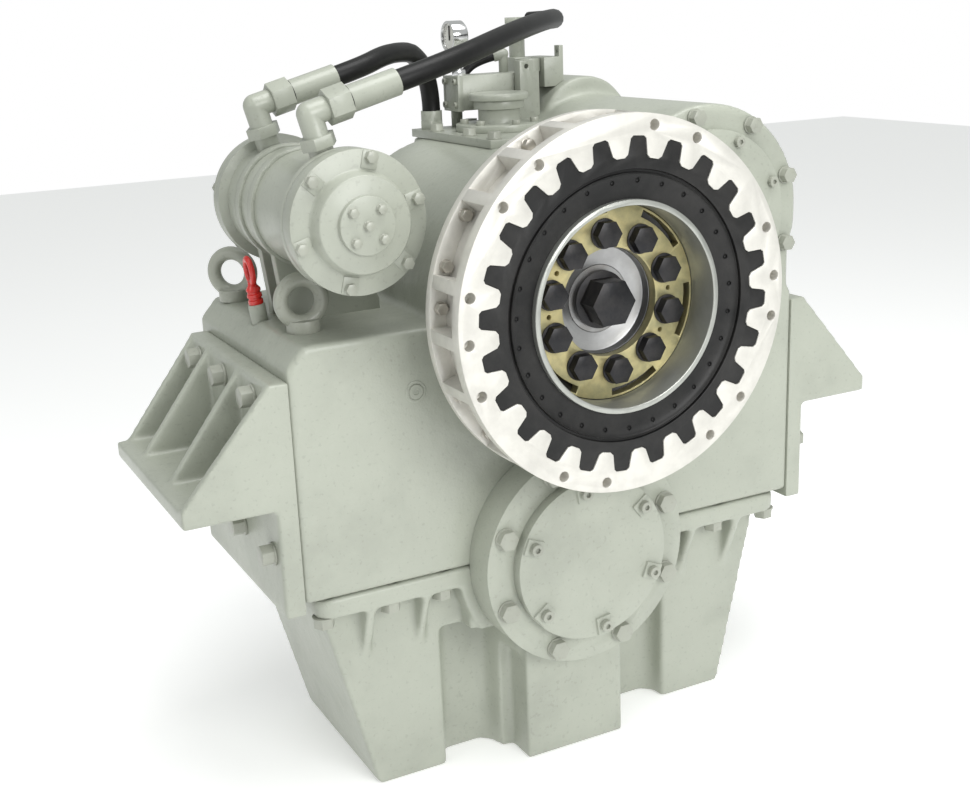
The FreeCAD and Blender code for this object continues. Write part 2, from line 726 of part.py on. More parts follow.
def side_cover_bolts():
    length = s.lobe_cover_depth + 12
    screw = socket_screw("side_cover_screw", 7, 7, 6, 4.5, length)
    spots = circle(SIDE, s.lobe_screw_circle, front_wall - s.lobe_cover_depth, 22.5, 45, 8)
    group, holes = family("side_cover_screw", screw, spots, REARWARD, 4.5, length)
    plug = hex_bolt("lobe_bolt", 19, 11, 2, 6, 12)
    lobe_spots = circle(SIDE, s.lobe_bolt_circle, front_wall, -20, 40, 4)
    lobe_group, lobe_holes = family("lobe_bolt", plug, lobe_spots, REARWARD, 6, 12)
    return [group, lobe_group], holes, lobe_holes


def rear_cover_bolts():
    """Bolts of the two rear bearing covers and of the oil pump."""
    length = s.rear_cover_depth + 14
    bolt = hex_bolt("rear_cover_bolt", 17, 9, 2, 5, length)
    spots = circle(INPUT, 100, s.nose_rear + s.rear_cover_depth, 22.5, 45, 8)
    input_group, input_holes = family("input_rear_bolt", bolt, spots, FORWARD, 5, length)
    spots = circle(SIDE, 105, s.lobe_rear + s.rear_cover_depth, 22.5, 45, 8)
    side_group, side_holes = family("side_rear_bolt", bolt, spots, FORWARD, 5, length)
    pump_bolt = hex_bolt("pump_bolt", 13, 6, 2, 4, 22)
    start = s.nose_rear + s.rear_cover_depth + 12
    spots = circle(INPUT, 76, start, 30, 60, 6)
    pump_group, pump_holes = family("pump_bolt", pump_bolt, spots, FORWARD, 4, 22)
    groups = [input_group, side_group, pump_group]
    return groups, input_holes, side_holes, pump_holes


def thrust_bolts():
    length = s.thrust_flange_depth + 12
    start = s.block_rear + s.thrust_flange_depth
    bolt = hex_bolt("thrust_bolt", 24, 12, 2, 8, length)
    spots = circle(OUTPUT, 152, start, 18, 36, 10)
    group, holes = family("thrust_bolt", bolt, spots, FORWARD, 8, length)
    end = s.block_rear + s.thrust_depth + 15
    screw = socket_screw("seal_screw", 6, 6, 5, 4, 30)
    spots = circle(OUTPUT, 107, end, 30, 60, 6)
    cap_group, cap_holes = family("seal_screw", screw, spots, FORWARD, 4, 30)
    return [group, cap_group], holes, cap_holes


def top_screws():
    length = s.top_plate_thickness + 16
    bolt = hex_bolt("top_bolt", 17, 8, 2, 5, length)
    spots = [(x, y, s.top_plate_height) for x, y in
             ((-18, -98), (49, -98), (116, -98), (-18, -25), (116, -25), (-18, 78), (58, 118))]
    group, holes = family("top_bolt", bolt, spots, DOWNWARD, 5, length)
    small = socket_screw("neck_screw", 6, 6, 5, 4, 18)
    high = s.top_plate_height + 10
    around = []
    for i in range(6):
        angle = 30 + 60 * i
        around.append((s.neck_x + 50 * cosine(angle), s.neck_y + 50 * sine(angle), high))
    neck_group, neck_holes = family("neck_screw", small, around, DOWNWARD, 4, 18)
    return [group, neck_group], holes, neck_holes


# Covers and bearing housings


def carrier(holes, screw_holes):
    """The front output bearing carrier and its blank cover."""
    inner = bearing_outer(s.output_shaft_radius) + s.seat_gap
    ring = turned("carrier_ring", [
        (inner, carrier_front), (s.carrier_radius, carrier_front),
        (s.carrier_radius, front_wall), (s.spigot_radius, front_wall),
        (s.spigot_radius, front_wall + 20), (inner, front_wall + 20)],
        0, 0, output_height, REARWARD)
    node("output_bearing_carrier", cut("carrier_drilled", ring, holes + screw_holes))
    face = carrier_front - s.cover_depth + 4
    disc = turned("cover_disc", [
        (0, face), (s.cover_radius, face), (s.cover_radius, carrier_front),
        (70, carrier_front), (70, face + 10), (0, face + 10)], 0, 0, output_height, REARWARD)
    pads = []
    for i in range(6):
        angle = 38 + 60 * i
        corners = []
        for radial, across in ((-12, -11), (13, -11), (13, 11), (-12, 11)):
            u = (s.cover_screw_circle + radial) * cosine(angle) - across * sine(angle)
            v = (s.cover_screw_circle + radial) * sine(angle) + across * cosine(angle)
            corners.append((u, v))
        pads.append(sawn("cover_pad_%d" % i, corners, face - 4, 5, "XZ_Plane", 0, 0,
                         output_height))
    cover = fuse("cover_padded", [disc] + pads)
    node("output_front_cover", cut("cover_drilled", cover, screw_holes))


def shaft_covers(front_holes, side_holes, rear_holes, side_rear_holes, pump_holes):
    start = front_wall - s.input_cover_depth
    front = turned("input_cover_flat", [
        (s.input_shaft_radius + 1, start), (s.input_cover_radius, start),
        (s.input_cover_radius, front_wall), (s.input_shaft_radius + 1, front_wall)],
        0, 0, s.input_height, REARWARD)
    node("input_bearing_cover", cut("input_cover_drilled", front, front_holes))
    side = rod("side_cover_disc", s.lobe_cover_radius, s.lobe_cover_depth, side_x,
               front_wall - s.lobe_cover_depth, side_height, REARWARD)
    node("side_shaft_cover", cut("side_cover_drilled", side, side_holes))
    disc = rod("input_rear_disc", s.rear_cover_radius - 6, s.rear_cover_depth, 0, s.nose_rear, s.input_height,
               REARWARD)
    input_rear = cut("input_rear_drilled", disc, rear_holes + pump_holes)
    disc = turned("side_rear_disc", [
        (0, s.lobe_rear), (s.rear_cover_radius, s.lobe_rear),
        (s.rear_cover_radius, s.lobe_rear + s.rear_cover_depth),
        (86, s.lobe_rear + s.rear_cover_depth), (76, s.lobe_rear + s.rear_cover_depth + 14),
        (0, s.lobe_rear + s.rear_cover_depth + 14)], side_x, 0, side_height, REARWARD)
    grouped("rear_shaft_covers",
            [input_rear, cut("side_rear_drilled", disc, side_rear_holes)])
    start = s.nose_rear + s.rear_cover_depth
    pump = turned("pump_body", [
        (0, start), (86, start), (86, start + 12), (s.pump_radius, start + 12),
        (s.pump_radius, start + s.pump_depth - 6),
        (s.pump_radius - 6, start + s.pump_depth), (0, start + s.pump_depth)],
        0, 0, s.input_height, REARWARD)
    ports = [rod("pump_port_left", 17, s.pump_radius + 22, 0, start + 44, s.input_height,
                 LEFTWARD),
             rod("pump_port_right", 17, s.pump_radius + 22, 0, start + 44, s.input_height,
                 RIGHTWARD)]
    node("oil_pump", cut("pump_drilled", fuse("pump_ported", [pump] + ports), pump_holes))


def thrust_housing(holes, cap_holes):
    """The rear housing with the output thrust bearings, and its seal cap."""
    inner = bearing_outer(s.output_shaft_radius) + s.seat_gap
    start = s.block_rear
    end = start + s.thrust_depth
    flange = start + s.thrust_flange_depth
    ring = turned("thrust_ring", [
        (inner, start - 20), (s.spigot_radius, start - 20), (s.spigot_radius, start),
        (s.thrust_flange, start), (s.thrust_flange, flange), (s.thrust_radius + 6, flange),
        (s.thrust_radius, flange + 12), (s.thrust_radius, end), (inner, end)],
        0, 0, output_height, REARWARD)
    node("thrust_bearing_housing", cut("thrust_drilled", ring, holes + cap_holes))
    cap = turned("seal_ring", [
        (s.output_shaft_radius + 1, end), (s.thrust_radius - 6, end),
        (s.thrust_radius - 6, end + 15), (s.output_shaft_radius + 1, end + 15)],
        0, 0, output_height, REARWARD)
    node("output_seal_cap", cut("seal_drilled", cap, cap_holes))


# Coupling


def wave(radius_angle, phase, teeth):
    """A closed toothed outline from half of one tooth, as (radius, angle from its middle)."""
    points = []
    step = 360.0 / teeth
    for i in range(teeth):
        middle = phase + i * step
        for radius, angle in reversed(radius_angle):
            points.append((radius, middle - angle))
        for radius, angle in radius_angle:
            points.append((radius, middle + angle))
    return points


def wave_prism(points, front, depth):
    """A prism of a toothed outline about the input line."""
    height = float(s.input_height)
    y = float(size(front))
    corners = []
    for radius, angle in points:
        turn = math.radians(angle)
        corners.append(Vector(radius * math.cos(turn), y, height + radius * math.sin(turn)))
    return Part.Face(Part.makePolygon(corners + corners[:1])).extrude(Vector(0, float(depth), 0))


def across(radius, front, depth, centre=INPUT):
    """A plain cylinder along +Y as a shape, with its sizes read from the sheet."""
    base = Vector(float(size(centre[0])), float(size(front)), float(size(centre[1])))
    return Part.makeCylinder(float(size(radius)), float(size(depth)), base, Vector(0, 1, 0))


def coupling_ring():
    """The outer ring: a toothed bore, a bolt circle, and pockets round the rim."""
    tip = float(s.tooth_tip_radius)
    root = float(s.tooth_root_radius)
    front = float(ring_face)
    depth = float(s.ring_depth - s.retainer_depth)
    profile = [(tip, 1.8), (tip + 3.5, 3.2), (root - 3, 4.4), (root, 5.4)]
    void = wave_prism(wave(profile, float(s.tooth_phase), int(s.coupling_teeth.number)),
                      front, depth)
    ring = across(s.ring_radius, front, depth).cut(void)
    flange = float(s.ring_flange)
    rim = across(s.ring_radius + 5, front + flange, depth - flange)
    rim = rim.cut(across(s.ring_pocket_radius, front + flange, depth - flange))
    for i in range(6):
        for first in (3.6, 20.5, 47.4):
            angle = first + 60 * i
            rib = Part.makeBox(60, depth, 16, Vector(200, front, -8))
            rib.rotate(Vector(0, 0, 0), Vector(0, 1, 0), -angle)
            rib.translate(Vector(0, 0, float(s.input_height)))
            rim = rim.cut(rib)
    ring = ring.cut(rim)
    for angle in ring_hole_angles():
        spot = (float(s.ring_bolt_circle) * math.cos(math.radians(angle)),
                float(s.input_height) + float(s.ring_bolt_circle)
                * math.sin(math.radians(angle)))
        ring = ring.cut(across(s.ring_hole_radius, front, flange, spot))
    return ring


def ring_hole_angles():
    angles = []
    for i in range(6):
        angles += [3.6 + 60 * i, 20.5 + 60 * i]
    return angles + [-10.1, 169.2]


def rubber_element():
    """The rubber: outward teeth between those of the ring, with a moulded groove."""
    tip = float(s.tooth_tip_radius - s.tooth_gap)
    root = float(s.tooth_root_radius - s.tooth_gap)
    front = float(ring_face) + 1
    depth = float(s.rubber_depth) - 1
    profile = [(tip, 1.85), (tip + 3.3, 3.3), (root - 3, 4.5), (root, 5.5)]
    solid = wave_prism(wave(profile, float(s.tooth_phase), int(s.coupling_teeth.number)),
                       front, depth)
    groove = across(s.rubber_groove, front, 5).cut(across(s.rubber_groove - 4, front, 5))
    bore = across(s.lip_radius + s.cup_wall, front, depth)
    return solid.cut(bore).cut(groove)


def coupling():
    """Everything that turns with the input between the engine flywheel and the gearbox."""
    back = ring_face + s.ring_depth - s.retainer_depth
    spots = []
    for angle in (25.6, 42.4, 55.5):
        for i in range(6):
            spots.append((s.ring_bolt_circle * cosine(angle + 60 * i), back,
                          s.input_height + s.ring_bolt_circle * sine(angle + 60 * i)))
    bolt = hex_bolt("retainer_bolt", 13, 8, 1, 4, s.retainer_depth)
    group, holes = family("retainer_bolt", bolt, spots, REARWARD, 4, s.retainer_depth)
    solid_node("coupling_ring", coupling_ring())
    solid_node("rubber_element", rubber_element())
    ring = turned("retainer_ring", [
        (170, back), (s.ring_radius, back), (s.ring_radius, back + s.retainer_depth),
        (170, back + s.retainer_depth)], 0, 0, s.input_height, REARWARD)
    node("coupling_retainer", cut("retainer_drilled", ring, holes))
    bolts = [group]
    outer = s.lip_radius + s.cup_wall
    floor = hub_front
    node("coupling_cup", turned("cup_ring", [
        (s.lip_radius, ring_face), (outer, ring_face), (outer, floor + 8), (104, floor + 8),
        (104, floor), (s.lip_radius, floor)], 0, 0, s.input_height, REARWARD))
    bolt = hex_bolt("plate_bolt", 30, 12.5, 2, 9, s.plate_thickness + 18)
    spots = circle(INPUT, s.plate_bolt_circle, plate_face, 94.8, -36, 10)
    group, holes = family("plate_bolt", bolt, spots, REARWARD, 9, s.plate_thickness + 18)
    bolts.append(group)
    disc = turned("plate_disc", [
        (s.plate_bore, plate_face), (s.lip_radius - 1, plate_face),
        (s.lip_radius - 1, hub_front), (s.plate_bore, hub_front)],
        0, 0, s.input_height, REARWARD)
    slots = []
    for i in range(6):
        corners = []
        for offset, steps in ((4.5, range(6)), (-4.5, range(5, -1, -1))):
            for step in steps:
                angle = 48 + 60 * i - s.slot_span / 2 + s.slot_span * step / 5
                corners.append(((s.slot_circle + offset) * cosine(angle),
                                (s.slot_circle + offset) * sine(angle)))
        slots.append(sawn("slot_%d" % i, corners, plate_face, s.plate_thickness, "XZ_Plane",
                          0, 0, s.input_height))
    node("drive_plate", cut("plate_drilled", disc, slots + holes))
    recess = hub_front + s.hub_recess - 1
    hub = turned("hub_disc", [
        (s.input_shaft_radius, recess), (s.hub_radius, recess), (s.hub_radius, hub_front),
        (103, hub_front), (103, hub_front + 20), (64, hub_front + 20),
        (58, front_wall - s.input_cover_depth - 3),
        (s.input_shaft_radius, front_wall - s.input_cover_depth - 3)],
        0, 0, s.input_height, REARWARD)
    node("input_hub", cut("hub_drilled", hub, holes))
    start = recess - s.washer_thickness
    head = hexagon("hub_bolt_head", 53, 30, 0, start - 30, s.input_height, REARWARD)
    washer = rod("hub_washer", s.washer_radius, s.washer_thickness, 0, start,
                 s.input_height, REARWARD)
    shank = rod("hub_bolt_shank", 15, 50, 0, start, s.input_height, REARWARD)
    bolts.append(fuse("hub_bolt", [head, washer, shank]))
    grouped("coupling_bolts", bolts)
    return recess


# Shafts, gears and bearings


def bearing_pair(name, shaft, centre, stations):
    """Inner rings of one shaft; the outer rings are returned with a running gap."""
    inside = []
    outside = []
    middle = shaft + s.bearing_step
    for i, station in enumerate(stations):
        inside.append(tube("%s_inner_%d" % (name, i), middle, shaft, s.bearing_width,
                           centre[0], station, centre[1], REARWARD))
        outside.append(tube("%s_outer_%d" % (name, i), bearing_outer(shaft),
                            middle + s.running_gap, s.bearing_width, centre[0], station,
                            centre[1], REARWARD))
    return inside, outside


def gear(teeth, phase, centre, plane, bore, web=None):
    """A gear shape; web gives the inner and outer radius of a recess in both faces."""
    shape = gear_blank(int(teeth.number), phase, centre, -plane, s.gear_face, bore)
    if web:
        for front in (-plane, -plane + s.gear_face - 12):
            recess = across(web[1], front, 12, centre).cut(across(web[0], front, 12, centre))
            shape = shape.cut(recess)
    return shape


def gear_train(recess):
    """Every gear and shaft, with the phases worked out so that all teeth mesh at rest."""
    input_rings, outer_rings = bearing_pair(
        "input_ring", s.input_shaft_radius, INPUT,
        [front_wall + 1, s.nose_rear - s.bearing_width - 3])
    side_rings, more = bearing_pair(
        "side_ring", s.side_shaft_radius, SIDE,
        [front_wall + 1, s.lobe_rear - s.bearing_width - 3])
    outer_rings += more
    output_rings, more = bearing_pair(
        "output_ring", s.output_shaft_radius, OUTPUT,
        [carrier_front + 8, s.block_rear + 5,
         s.block_rear + s.thrust_depth - s.bearing_width - 18])
    grouped("fixed_bearing_rings", outer_rings + more)
    grouped("input_shaft", input_rings + [turned("input_spindle", [
        (0, -280), (15, -280), (15, recess), (s.input_shaft_radius, recess),
        (s.input_shaft_radius, s.nose_rear - 2), (0, s.nose_rear - 2)],
        0, 0, s.input_height, REARWARD)])
    down = line_angle(INPUT, OUTPUT)
    ahead_phase = 0.0
    wheel_phase = matching_phase(int(s.ahead_pinion_teeth.number), ahead_phase,
                                 int(s.ahead_wheel_teeth.number), down)
    drum_phase = 0.0
    side_phase = matching_phase(int(s.drum_teeth.number), drum_phase,
                                int(s.drum_teeth.number), line_angle(INPUT, SIDE))
    astern_phase = 0.0
    idler_phase = matching_phase(int(s.astern_pinion_teeth.number), astern_phase,
                                 int(s.idler_teeth.number), line_angle(INPUT, IDLER))
    astern_wheel_phase = matching_phase(int(s.idler_teeth.number), idler_phase,
                                        int(s.astern_wheel_teeth.number),
                                        line_angle(IDLER, OUTPUT))
    solid_node("ahead_pinion", gear(s.ahead_pinion_teeth, ahead_phase, INPUT, s.ahead_plane,
                                    s.input_shaft_radius))
    solid_node("ahead_wheel", gear(s.ahead_wheel_teeth, wheel_phase, OUTPUT, s.ahead_plane,
                                   s.output_shaft_radius, (105, 240)))
    drum = gear(s.drum_teeth, drum_phase, INPUT, s.drum_plane, s.input_shaft_radius)
    side = across(108, -s.drum_plane + s.gear_face, 16)
    side = side.cut(across(s.input_shaft_radius, -s.drum_plane + s.gear_face, 16))
    solid_node("ahead_clutch_drum", drum.fuse(side))
    side_gear = plain_solid("side_gear", gear(s.drum_teeth, side_phase, SIDE, s.drum_plane,
                                 s.side_shaft_radius, (56, 96)))
    pinion = gear(s.astern_pinion_teeth, astern_phase, INPUT, s.astern_plane,
                  s.input_shaft_radius + s.running_gap)
    collar = across(54, -s.astern_plane + s.gear_face, 56)
    collar = collar.cut(across(s.input_shaft_radius + s.running_gap,
                               -s.astern_plane + s.gear_face, 56))
    solid_node("astern_pinion", pinion.fuse(collar))
    solid_node("idler_gear", gear(s.idler_teeth, idler_phase, IDLER, s.astern_plane,
                                  s.idler_pin_radius + s.running_gap))
    solid_node("astern_wheel", gear(s.astern_wheel_teeth, astern_wheel_phase, OUTPUT,
                                    s.astern_plane, s.output_shaft_radius, (100, 205)))
    node("astern_clutch_drum", turned("astern_drum", [
        (s.input_shaft_radius, 50), (105, 50), (105, -10), (97, -10), (97, 38),
        (s.input_shaft_radius, 38)], 0, 0, s.input_height, REARWARD))
    plates = []
    for i in range(5):
        plates.append(tube("clutch_plate_%d" % i, 96.8, 56, 5, 0, -8 + 9 * i,
                           s.input_height, REARWARD))
    grouped("clutch_plates", plates)
    spindle = rod("side_spindle", s.side_shaft_radius, s.lobe_rear + s.block_front - 8,
                  side_x, front_wall + 1, side_height, REARWARD)
    grouped("side_shaft", side_rings + [spindle, side_gear])
    node("idler_pin", rod("idler_spindle", s.idler_pin_radius,
                          s.astern_plane + s.block_rear + 2, IDLER[0], -s.astern_plane - 4,
                          IDLER[1], REARWARD))
    end = s.rear_reach
    spindle = rod("output_spindle", s.output_shaft_radius, end - carrier_front - 14, 0,
                  carrier_front + 4, output_height, REARWARD)
    grouped("output_shaft", output_rings + [spindle])
    holes = []
    for i, (x, y, z) in enumerate(circle(OUTPUT, 120, end - 30, 22.5, 45, 8)):
        holes.append(rod("flange_hole_%d" % i, 12, 30, x, y, z, REARWARD))
    flange = turned("output_flange_disc", [
        (s.output_shaft_radius, 300), (85, 300), (85, end - 30), (145, end - 30), (145, end),
        (s.output_shaft_radius, end)], 0, 0, output_height, REARWARD)
    node("output_flange", cut("output_flange_drilled", flange, holes))


# Oil cooler


def cooler():
    """Shell, caps, straps, saddles and the two hose elbows."""
    x, z = s.cooler_x, s.cooler_height
    centre = (x, z)
    front = -s.cooler_front
    cap_back = front + s.cooler_cap_depth
    bolt = hex_bolt("cooler_bolt", 13, 8, 1, 4, 22)
    spots = circle(centre, s.cooler_bolt_circle, front, 136.6, -60, 6)
    front_group, front_holes = family("cooler_front_bolt", bolt, spots, REARWARD, 4, 22)
    spots = circle(centre, s.cooler_bolt_circle, s.cooler_rear, 106.6, -60, 6)
    rear_group, rear_holes = family("cooler_rear_bolt", bolt, spots, FORWARD, 4, 22)
    small = hex_bolt("inspection_bolt", 10, 6, 1, 3, 14)
    spots = circle(centre, 24.7, front - 26, 47.4, 90, 4) + [(x, front - 26, z)]
    small_group, small_holes = family("inspection_bolt", small, spots, REARWARD, 3, 14)
    grouped("cooler_bolts", [front_group, rear_group, small_group])
    cap = turned("cooler_cap", [
        (0, front - 8), (44, front - 8), (48, front), (s.cooler_cap_radius, front),
        (s.cooler_cap_radius, cap_back), (62, cap_back), (62, front + 8), (0, front + 8)],
        x, 0, z, REARWARD)
    front_cap = cut("cooler_cap_drilled", cap, front_holes)
    plate = block("inspection_block", x - 30, x + 30, front - 26, front - 8, z - 30, z + 30)
    grouped("cooler_front_cap", [front_cap, cut("inspection_drilled", plate, small_holes)])
    rear_start = s.cooler_rear - 12
    cap = turned("cooler_rear_disc", [
        (0, rear_start + 4), (62, rear_start + 4), (62, rear_start),
        (s.cooler_cap_radius - 1, rear_start), (s.cooler_cap_radius - 1, s.cooler_rear),
        (50, s.cooler_rear), (40, s.cooler_rear + 12), (0, s.cooler_rear + 12)],
        x, 0, z, REARWARD)
    node("cooler_rear_cap", cut("cooler_rear_drilled", cap, rear_holes))
    shell = turned("cooler_tube", [
        (66, cap_back), (s.cooler_cap_radius, cap_back),
        (s.cooler_cap_radius, cap_back + s.cooler_flange_depth),
        (s.cooler_body_radius, cap_back + s.cooler_flange_depth),
        (s.cooler_body_radius, rear_start - 12), (s.cooler_cap_radius - 1, rear_start - 12),
        (s.cooler_cap_radius - 1, rear_start), (66, rear_start)], x, 0, z, REARWARD)
    bores = []
    elbows = []
    for name, y in (("front", -s.front_port), ("rear", -s.rear_port)):
        bores.append(rod(name + "_port_bore", s.port_radius - 5, s.cooler_body_radius + 2, x,
                         y, z, PORT_TURN))
        outward = -sine(s.port_tilt)
        upward = cosine(s.port_tilt)
        corner_x = x + s.elbow_height * outward
        corner_z = z + s.elbow_height * upward
        riser = rod(name + "_riser", s.port_radius, s.elbow_height, x, y, z, PORT_TURN)
        riser = cut(name + "_riser_seated", riser,
                    [rod(name + "_shell_room", s.cooler_body_radius, 60, x, y - 30, z,
                         REARWARD)])
        ball = doc.addObject("Part::Sphere", name + "_corner")
        tie(ball, "Radius", s.port_radius)
        place(ball, corner_x, y, corner_z)
        leg = rod(name + "_leg", s.port_radius, 22, corner_x, y, corner_z, LEG_TURN)
        nut = hexagon(name + "_base_nut", 38, 14, x + 88 * outward, y, z + 88 * upward,
                      PORT_TURN)
        elbows.append(fuse(name + "_elbow", [riser, ball, leg, nut]))
    node("cooler_shell", cut("cooler_shell_drilled", shell, bores + front_holes + rear_holes))
    straps = []
    saddles = []
    for name, y, left, right in (("front", -95, -326, -196), ("rear", -44, -326, -236)):
        straps.append(tube(name + "_strap", s.cooler_body_radius + 4, s.cooler_body_radius,
                           16, x, y, z, REARWARD))
        plate = sawn(name + "_saddle_plate", [
            (left, s.block_top), (right, s.block_top), (right, s.block_top + 14),
            (x + 52, z - 46), (x - 52, z - 46), (left, s.block_top + 14)], y, 16)
        seat = rod(name + "_saddle_seat", s.cooler_body_radius + 4, 16, x, y, z, REARWARD)
        saddles.append(cut(name + "_saddle", plate, [seat]))
    grouped("cooler_mounts", straps + saddles)
    return elbows


# Top cover, controls and hoses


def top_cover(holes, neck_holes):
    top = s.top_plate_height
    plate = block("top_plate", s.top_plate_left, s.top_plate_right, s.top_plate_front,
                  s.top_plate_rear, top - s.top_plate_thickness, top)
    neck_bore = rod("plate_neck_bore", s.neck_radius - 6, 20, s.neck_x, s.neck_y,
                    top - s.top_plate_thickness)
    node("top_cover_plate", cut("top_plate_drilled", plate, holes + neck_holes + [neck_bore]))
    high = s.cap_top - 10
    neck = turned("neck_body", [
        (s.neck_radius - 6, top), (s.neck_flange, top), (s.neck_flange, top + 10),
        (s.neck_radius, top + 10), (s.neck_radius, high - 12), (s.neck_radius + 6, high - 12),
        (s.neck_radius + 6, high), (s.neck_radius - 6, high)], s.neck_x, s.neck_y, 0)
    node("filler_neck", cut("neck_drilled", neck, neck_holes))
    node("breather_cap", turned("breather_body", [
        (0, high), (s.cap_radius, high), (s.cap_radius, s.cap_top - 2),
        (s.cap_radius - 2, s.cap_top), (0, s.cap_top)], s.neck_x, s.neck_y, 0))


def control_valve():
    top = s.top_plate_height
    low = s.valve_bottom
    high = s.valve_bottom + s.valve_size
    body = fuse("valve_solid", [
        block("valve_box", s.valve_left + 8, 150, s.valve_front, s.valve_rear, low, high),
        block("valve_foot", 100, 150, s.valve_front, s.valve_rear, top, low + 1),
        rod("valve_column", 18, 931 - high + 1, 146, 98, high - 1),
    ])
    pivot = (118, 889)
    bore = rod("lever_bore", 6 + s.running_gap, 14, pivot[0], s.valve_front, pivot[1],
               REARWARD)
    screw = socket_screw("valve_screw", 4.5, 4, 4, 2.5, 14)
    spots = [(s.valve_left, s.valve_front + 7 + a * 32, low + 8 + b * 33)
             for a in (0, 1) for b in (0, 1)]
    group, holes = family("valve_screw", screw, spots, RIGHTWARD, 2.5, 14)
    seat = rod("valve_hump_room", s.hump_radius + 0.05, 90, s.hump_x, s.hump_front,
               s.hump_height, REARWARD)
    lobe_seat = rod("valve_lobe_room", s.lobe_radius + 0.05, 90, side_x, s.hump_front - 5,
                    side_height, REARWARD)
    node("control_valve", cut("valve_bored", body, [bore, seat, lobe_seat] + holes))
    cover = block("valve_end", s.valve_left, s.valve_left + 8, s.valve_front - 1,
                  s.valve_rear + 1, low - 1, high)
    node("valve_end_cover", cut("valve_end_drilled", cover, holes))
    side = fuse("filter_solid", [
        block("filter_box", 164, 190, s.valve_front + 8, 150, 889, 932),
        block("filter_link", 136, 166, 119, 150, 900, 932),
        block("filter_end", 190, 197, s.valve_front + 8, 150, 889, 932),
        block("filter_ear", 190, 197, s.valve_front + 8, s.valve_front + 22, 930, 948),
    ])
    ear_hole = rod("ear_hole", 3, 12, 188, s.valve_front + 15, 940, RIGHTWARD)
    node("filter_block", cut("filter_seated", side, [
        rod("filter_hump_room", s.hump_radius + 0.05, 90, s.hump_x, s.hump_front,
            s.hump_height, REARWARD), ear_hole,
        rod("column_room", 18, 60, 146, 98, 880)]))
    lever = fuse("lever_solid", [
        block("lever_plate", 107, 129, 52, 69, 889, 930),
        rod("lever_boss", 11, 17, pivot[0], 52, pivot[1], REARWARD),
        rod("lever_pin", 6, s.valve_front - 69 + 13, pivot[0], 69, pivot[1], REARWARD),
    ])
    node("control_lever", cut("lever_drilled", lever, [
        rod("lever_hole", 3.5, 20, 118, 50, 922, REARWARD)]))
    return group


def pressure_gauge():
    x, y, z = s.gauge_x + 12, s.gauge_y, s.gauge_height
    high = s.valve_bottom + s.valve_size
    case = turned("gauge_case", [
        (1.55, 8), (1.55, 20), (19, 20), (19, 24), (22, 24), (22, 3), (19, 0), (0, 0),
        (0, 8)], x, y, z, LEFTWARD)
    stem = rod("gauge_stem", 5, z - 21 - high + 3, s.gauge_x + 4, y, high)
    nut = hexagon("gauge_nut", 19, 8, s.gauge_x + 4, y, high)
    node("pressure_gauge", fuse("gauge_solid", [case, stem, nut]))
    pin = rod("needle_pin", 1.5, 11, x - 10, y, z, LEFTWARD)
    hand = block("needle_hand", x - 21.8, x - 20.6, y - 1, y + 1, z - 5, z + 15)
    node("gauge_needle", fuse("needle_solid", [pin, hand]))


def corner_arcs(points):
    """Straight runs joined by tangent arcs, with the radius of every bend."""
    corners = [Vector(*p) for p in points]
    edges = []
    radii = []
    start = corners[0]
    for i in range(1, len(corners) - 1):
        before = (corners[i] - corners[i - 1])
        after = (corners[i + 1] - corners[i])
        reach = 0.45 * min(before.Length, after.Length)
        turn = before.getAngle(after)
        radii.append(reach / math.tan(turn / 2))
        before.normalize()
        after.normalize()
        enter = corners[i] - before * reach
        leave = corners[i] + after * reach
        inward = (after - before)
        inward.normalize()
        centre = corners[i] + inward * (radii[-1] / math.cos(turn / 2))
        middle = centre - inward * radii[-1]
        edges.append(Part.LineSegment(start, enter).toShape())
        edges.append(Part.Arc(enter, middle, leave).toShape())
        start = leave
    edges.append(Part.LineSegment(start, corners[-1]).toShape())
    return Part.Wire(edges), radii


def hose(name, points, radius):
    """A hose swept along its route."""
    route, radii = corner_arcs(points)
    first = Vector(*points[1]) - Vector(*points[0])
    section = Part.Wire([Part.Circle(Vector(*points[0]), first, float(radius)).toShape()])
    shape = route.makePipeShell([section], True, True)
    print(name, "length", round(route.Length, 1), "bends", [round(r) for r in radii],
          "volume ratio", round(shape.Volume / (route.Length * math.pi * float(radius) ** 2), 4))
    return solid_node(name, shape)


def end_turn(points, index):
    """The rotation that turns +Z to run out of one end of a hose."""
    if index == 0:
        way = Vector(*points[0]) - Vector(*points[1])
    else:
        way = Vector(*points[-1]) - Vector(*points[-2])
    return FreeCAD.Rotation(Vector(0, 0, 1), way)


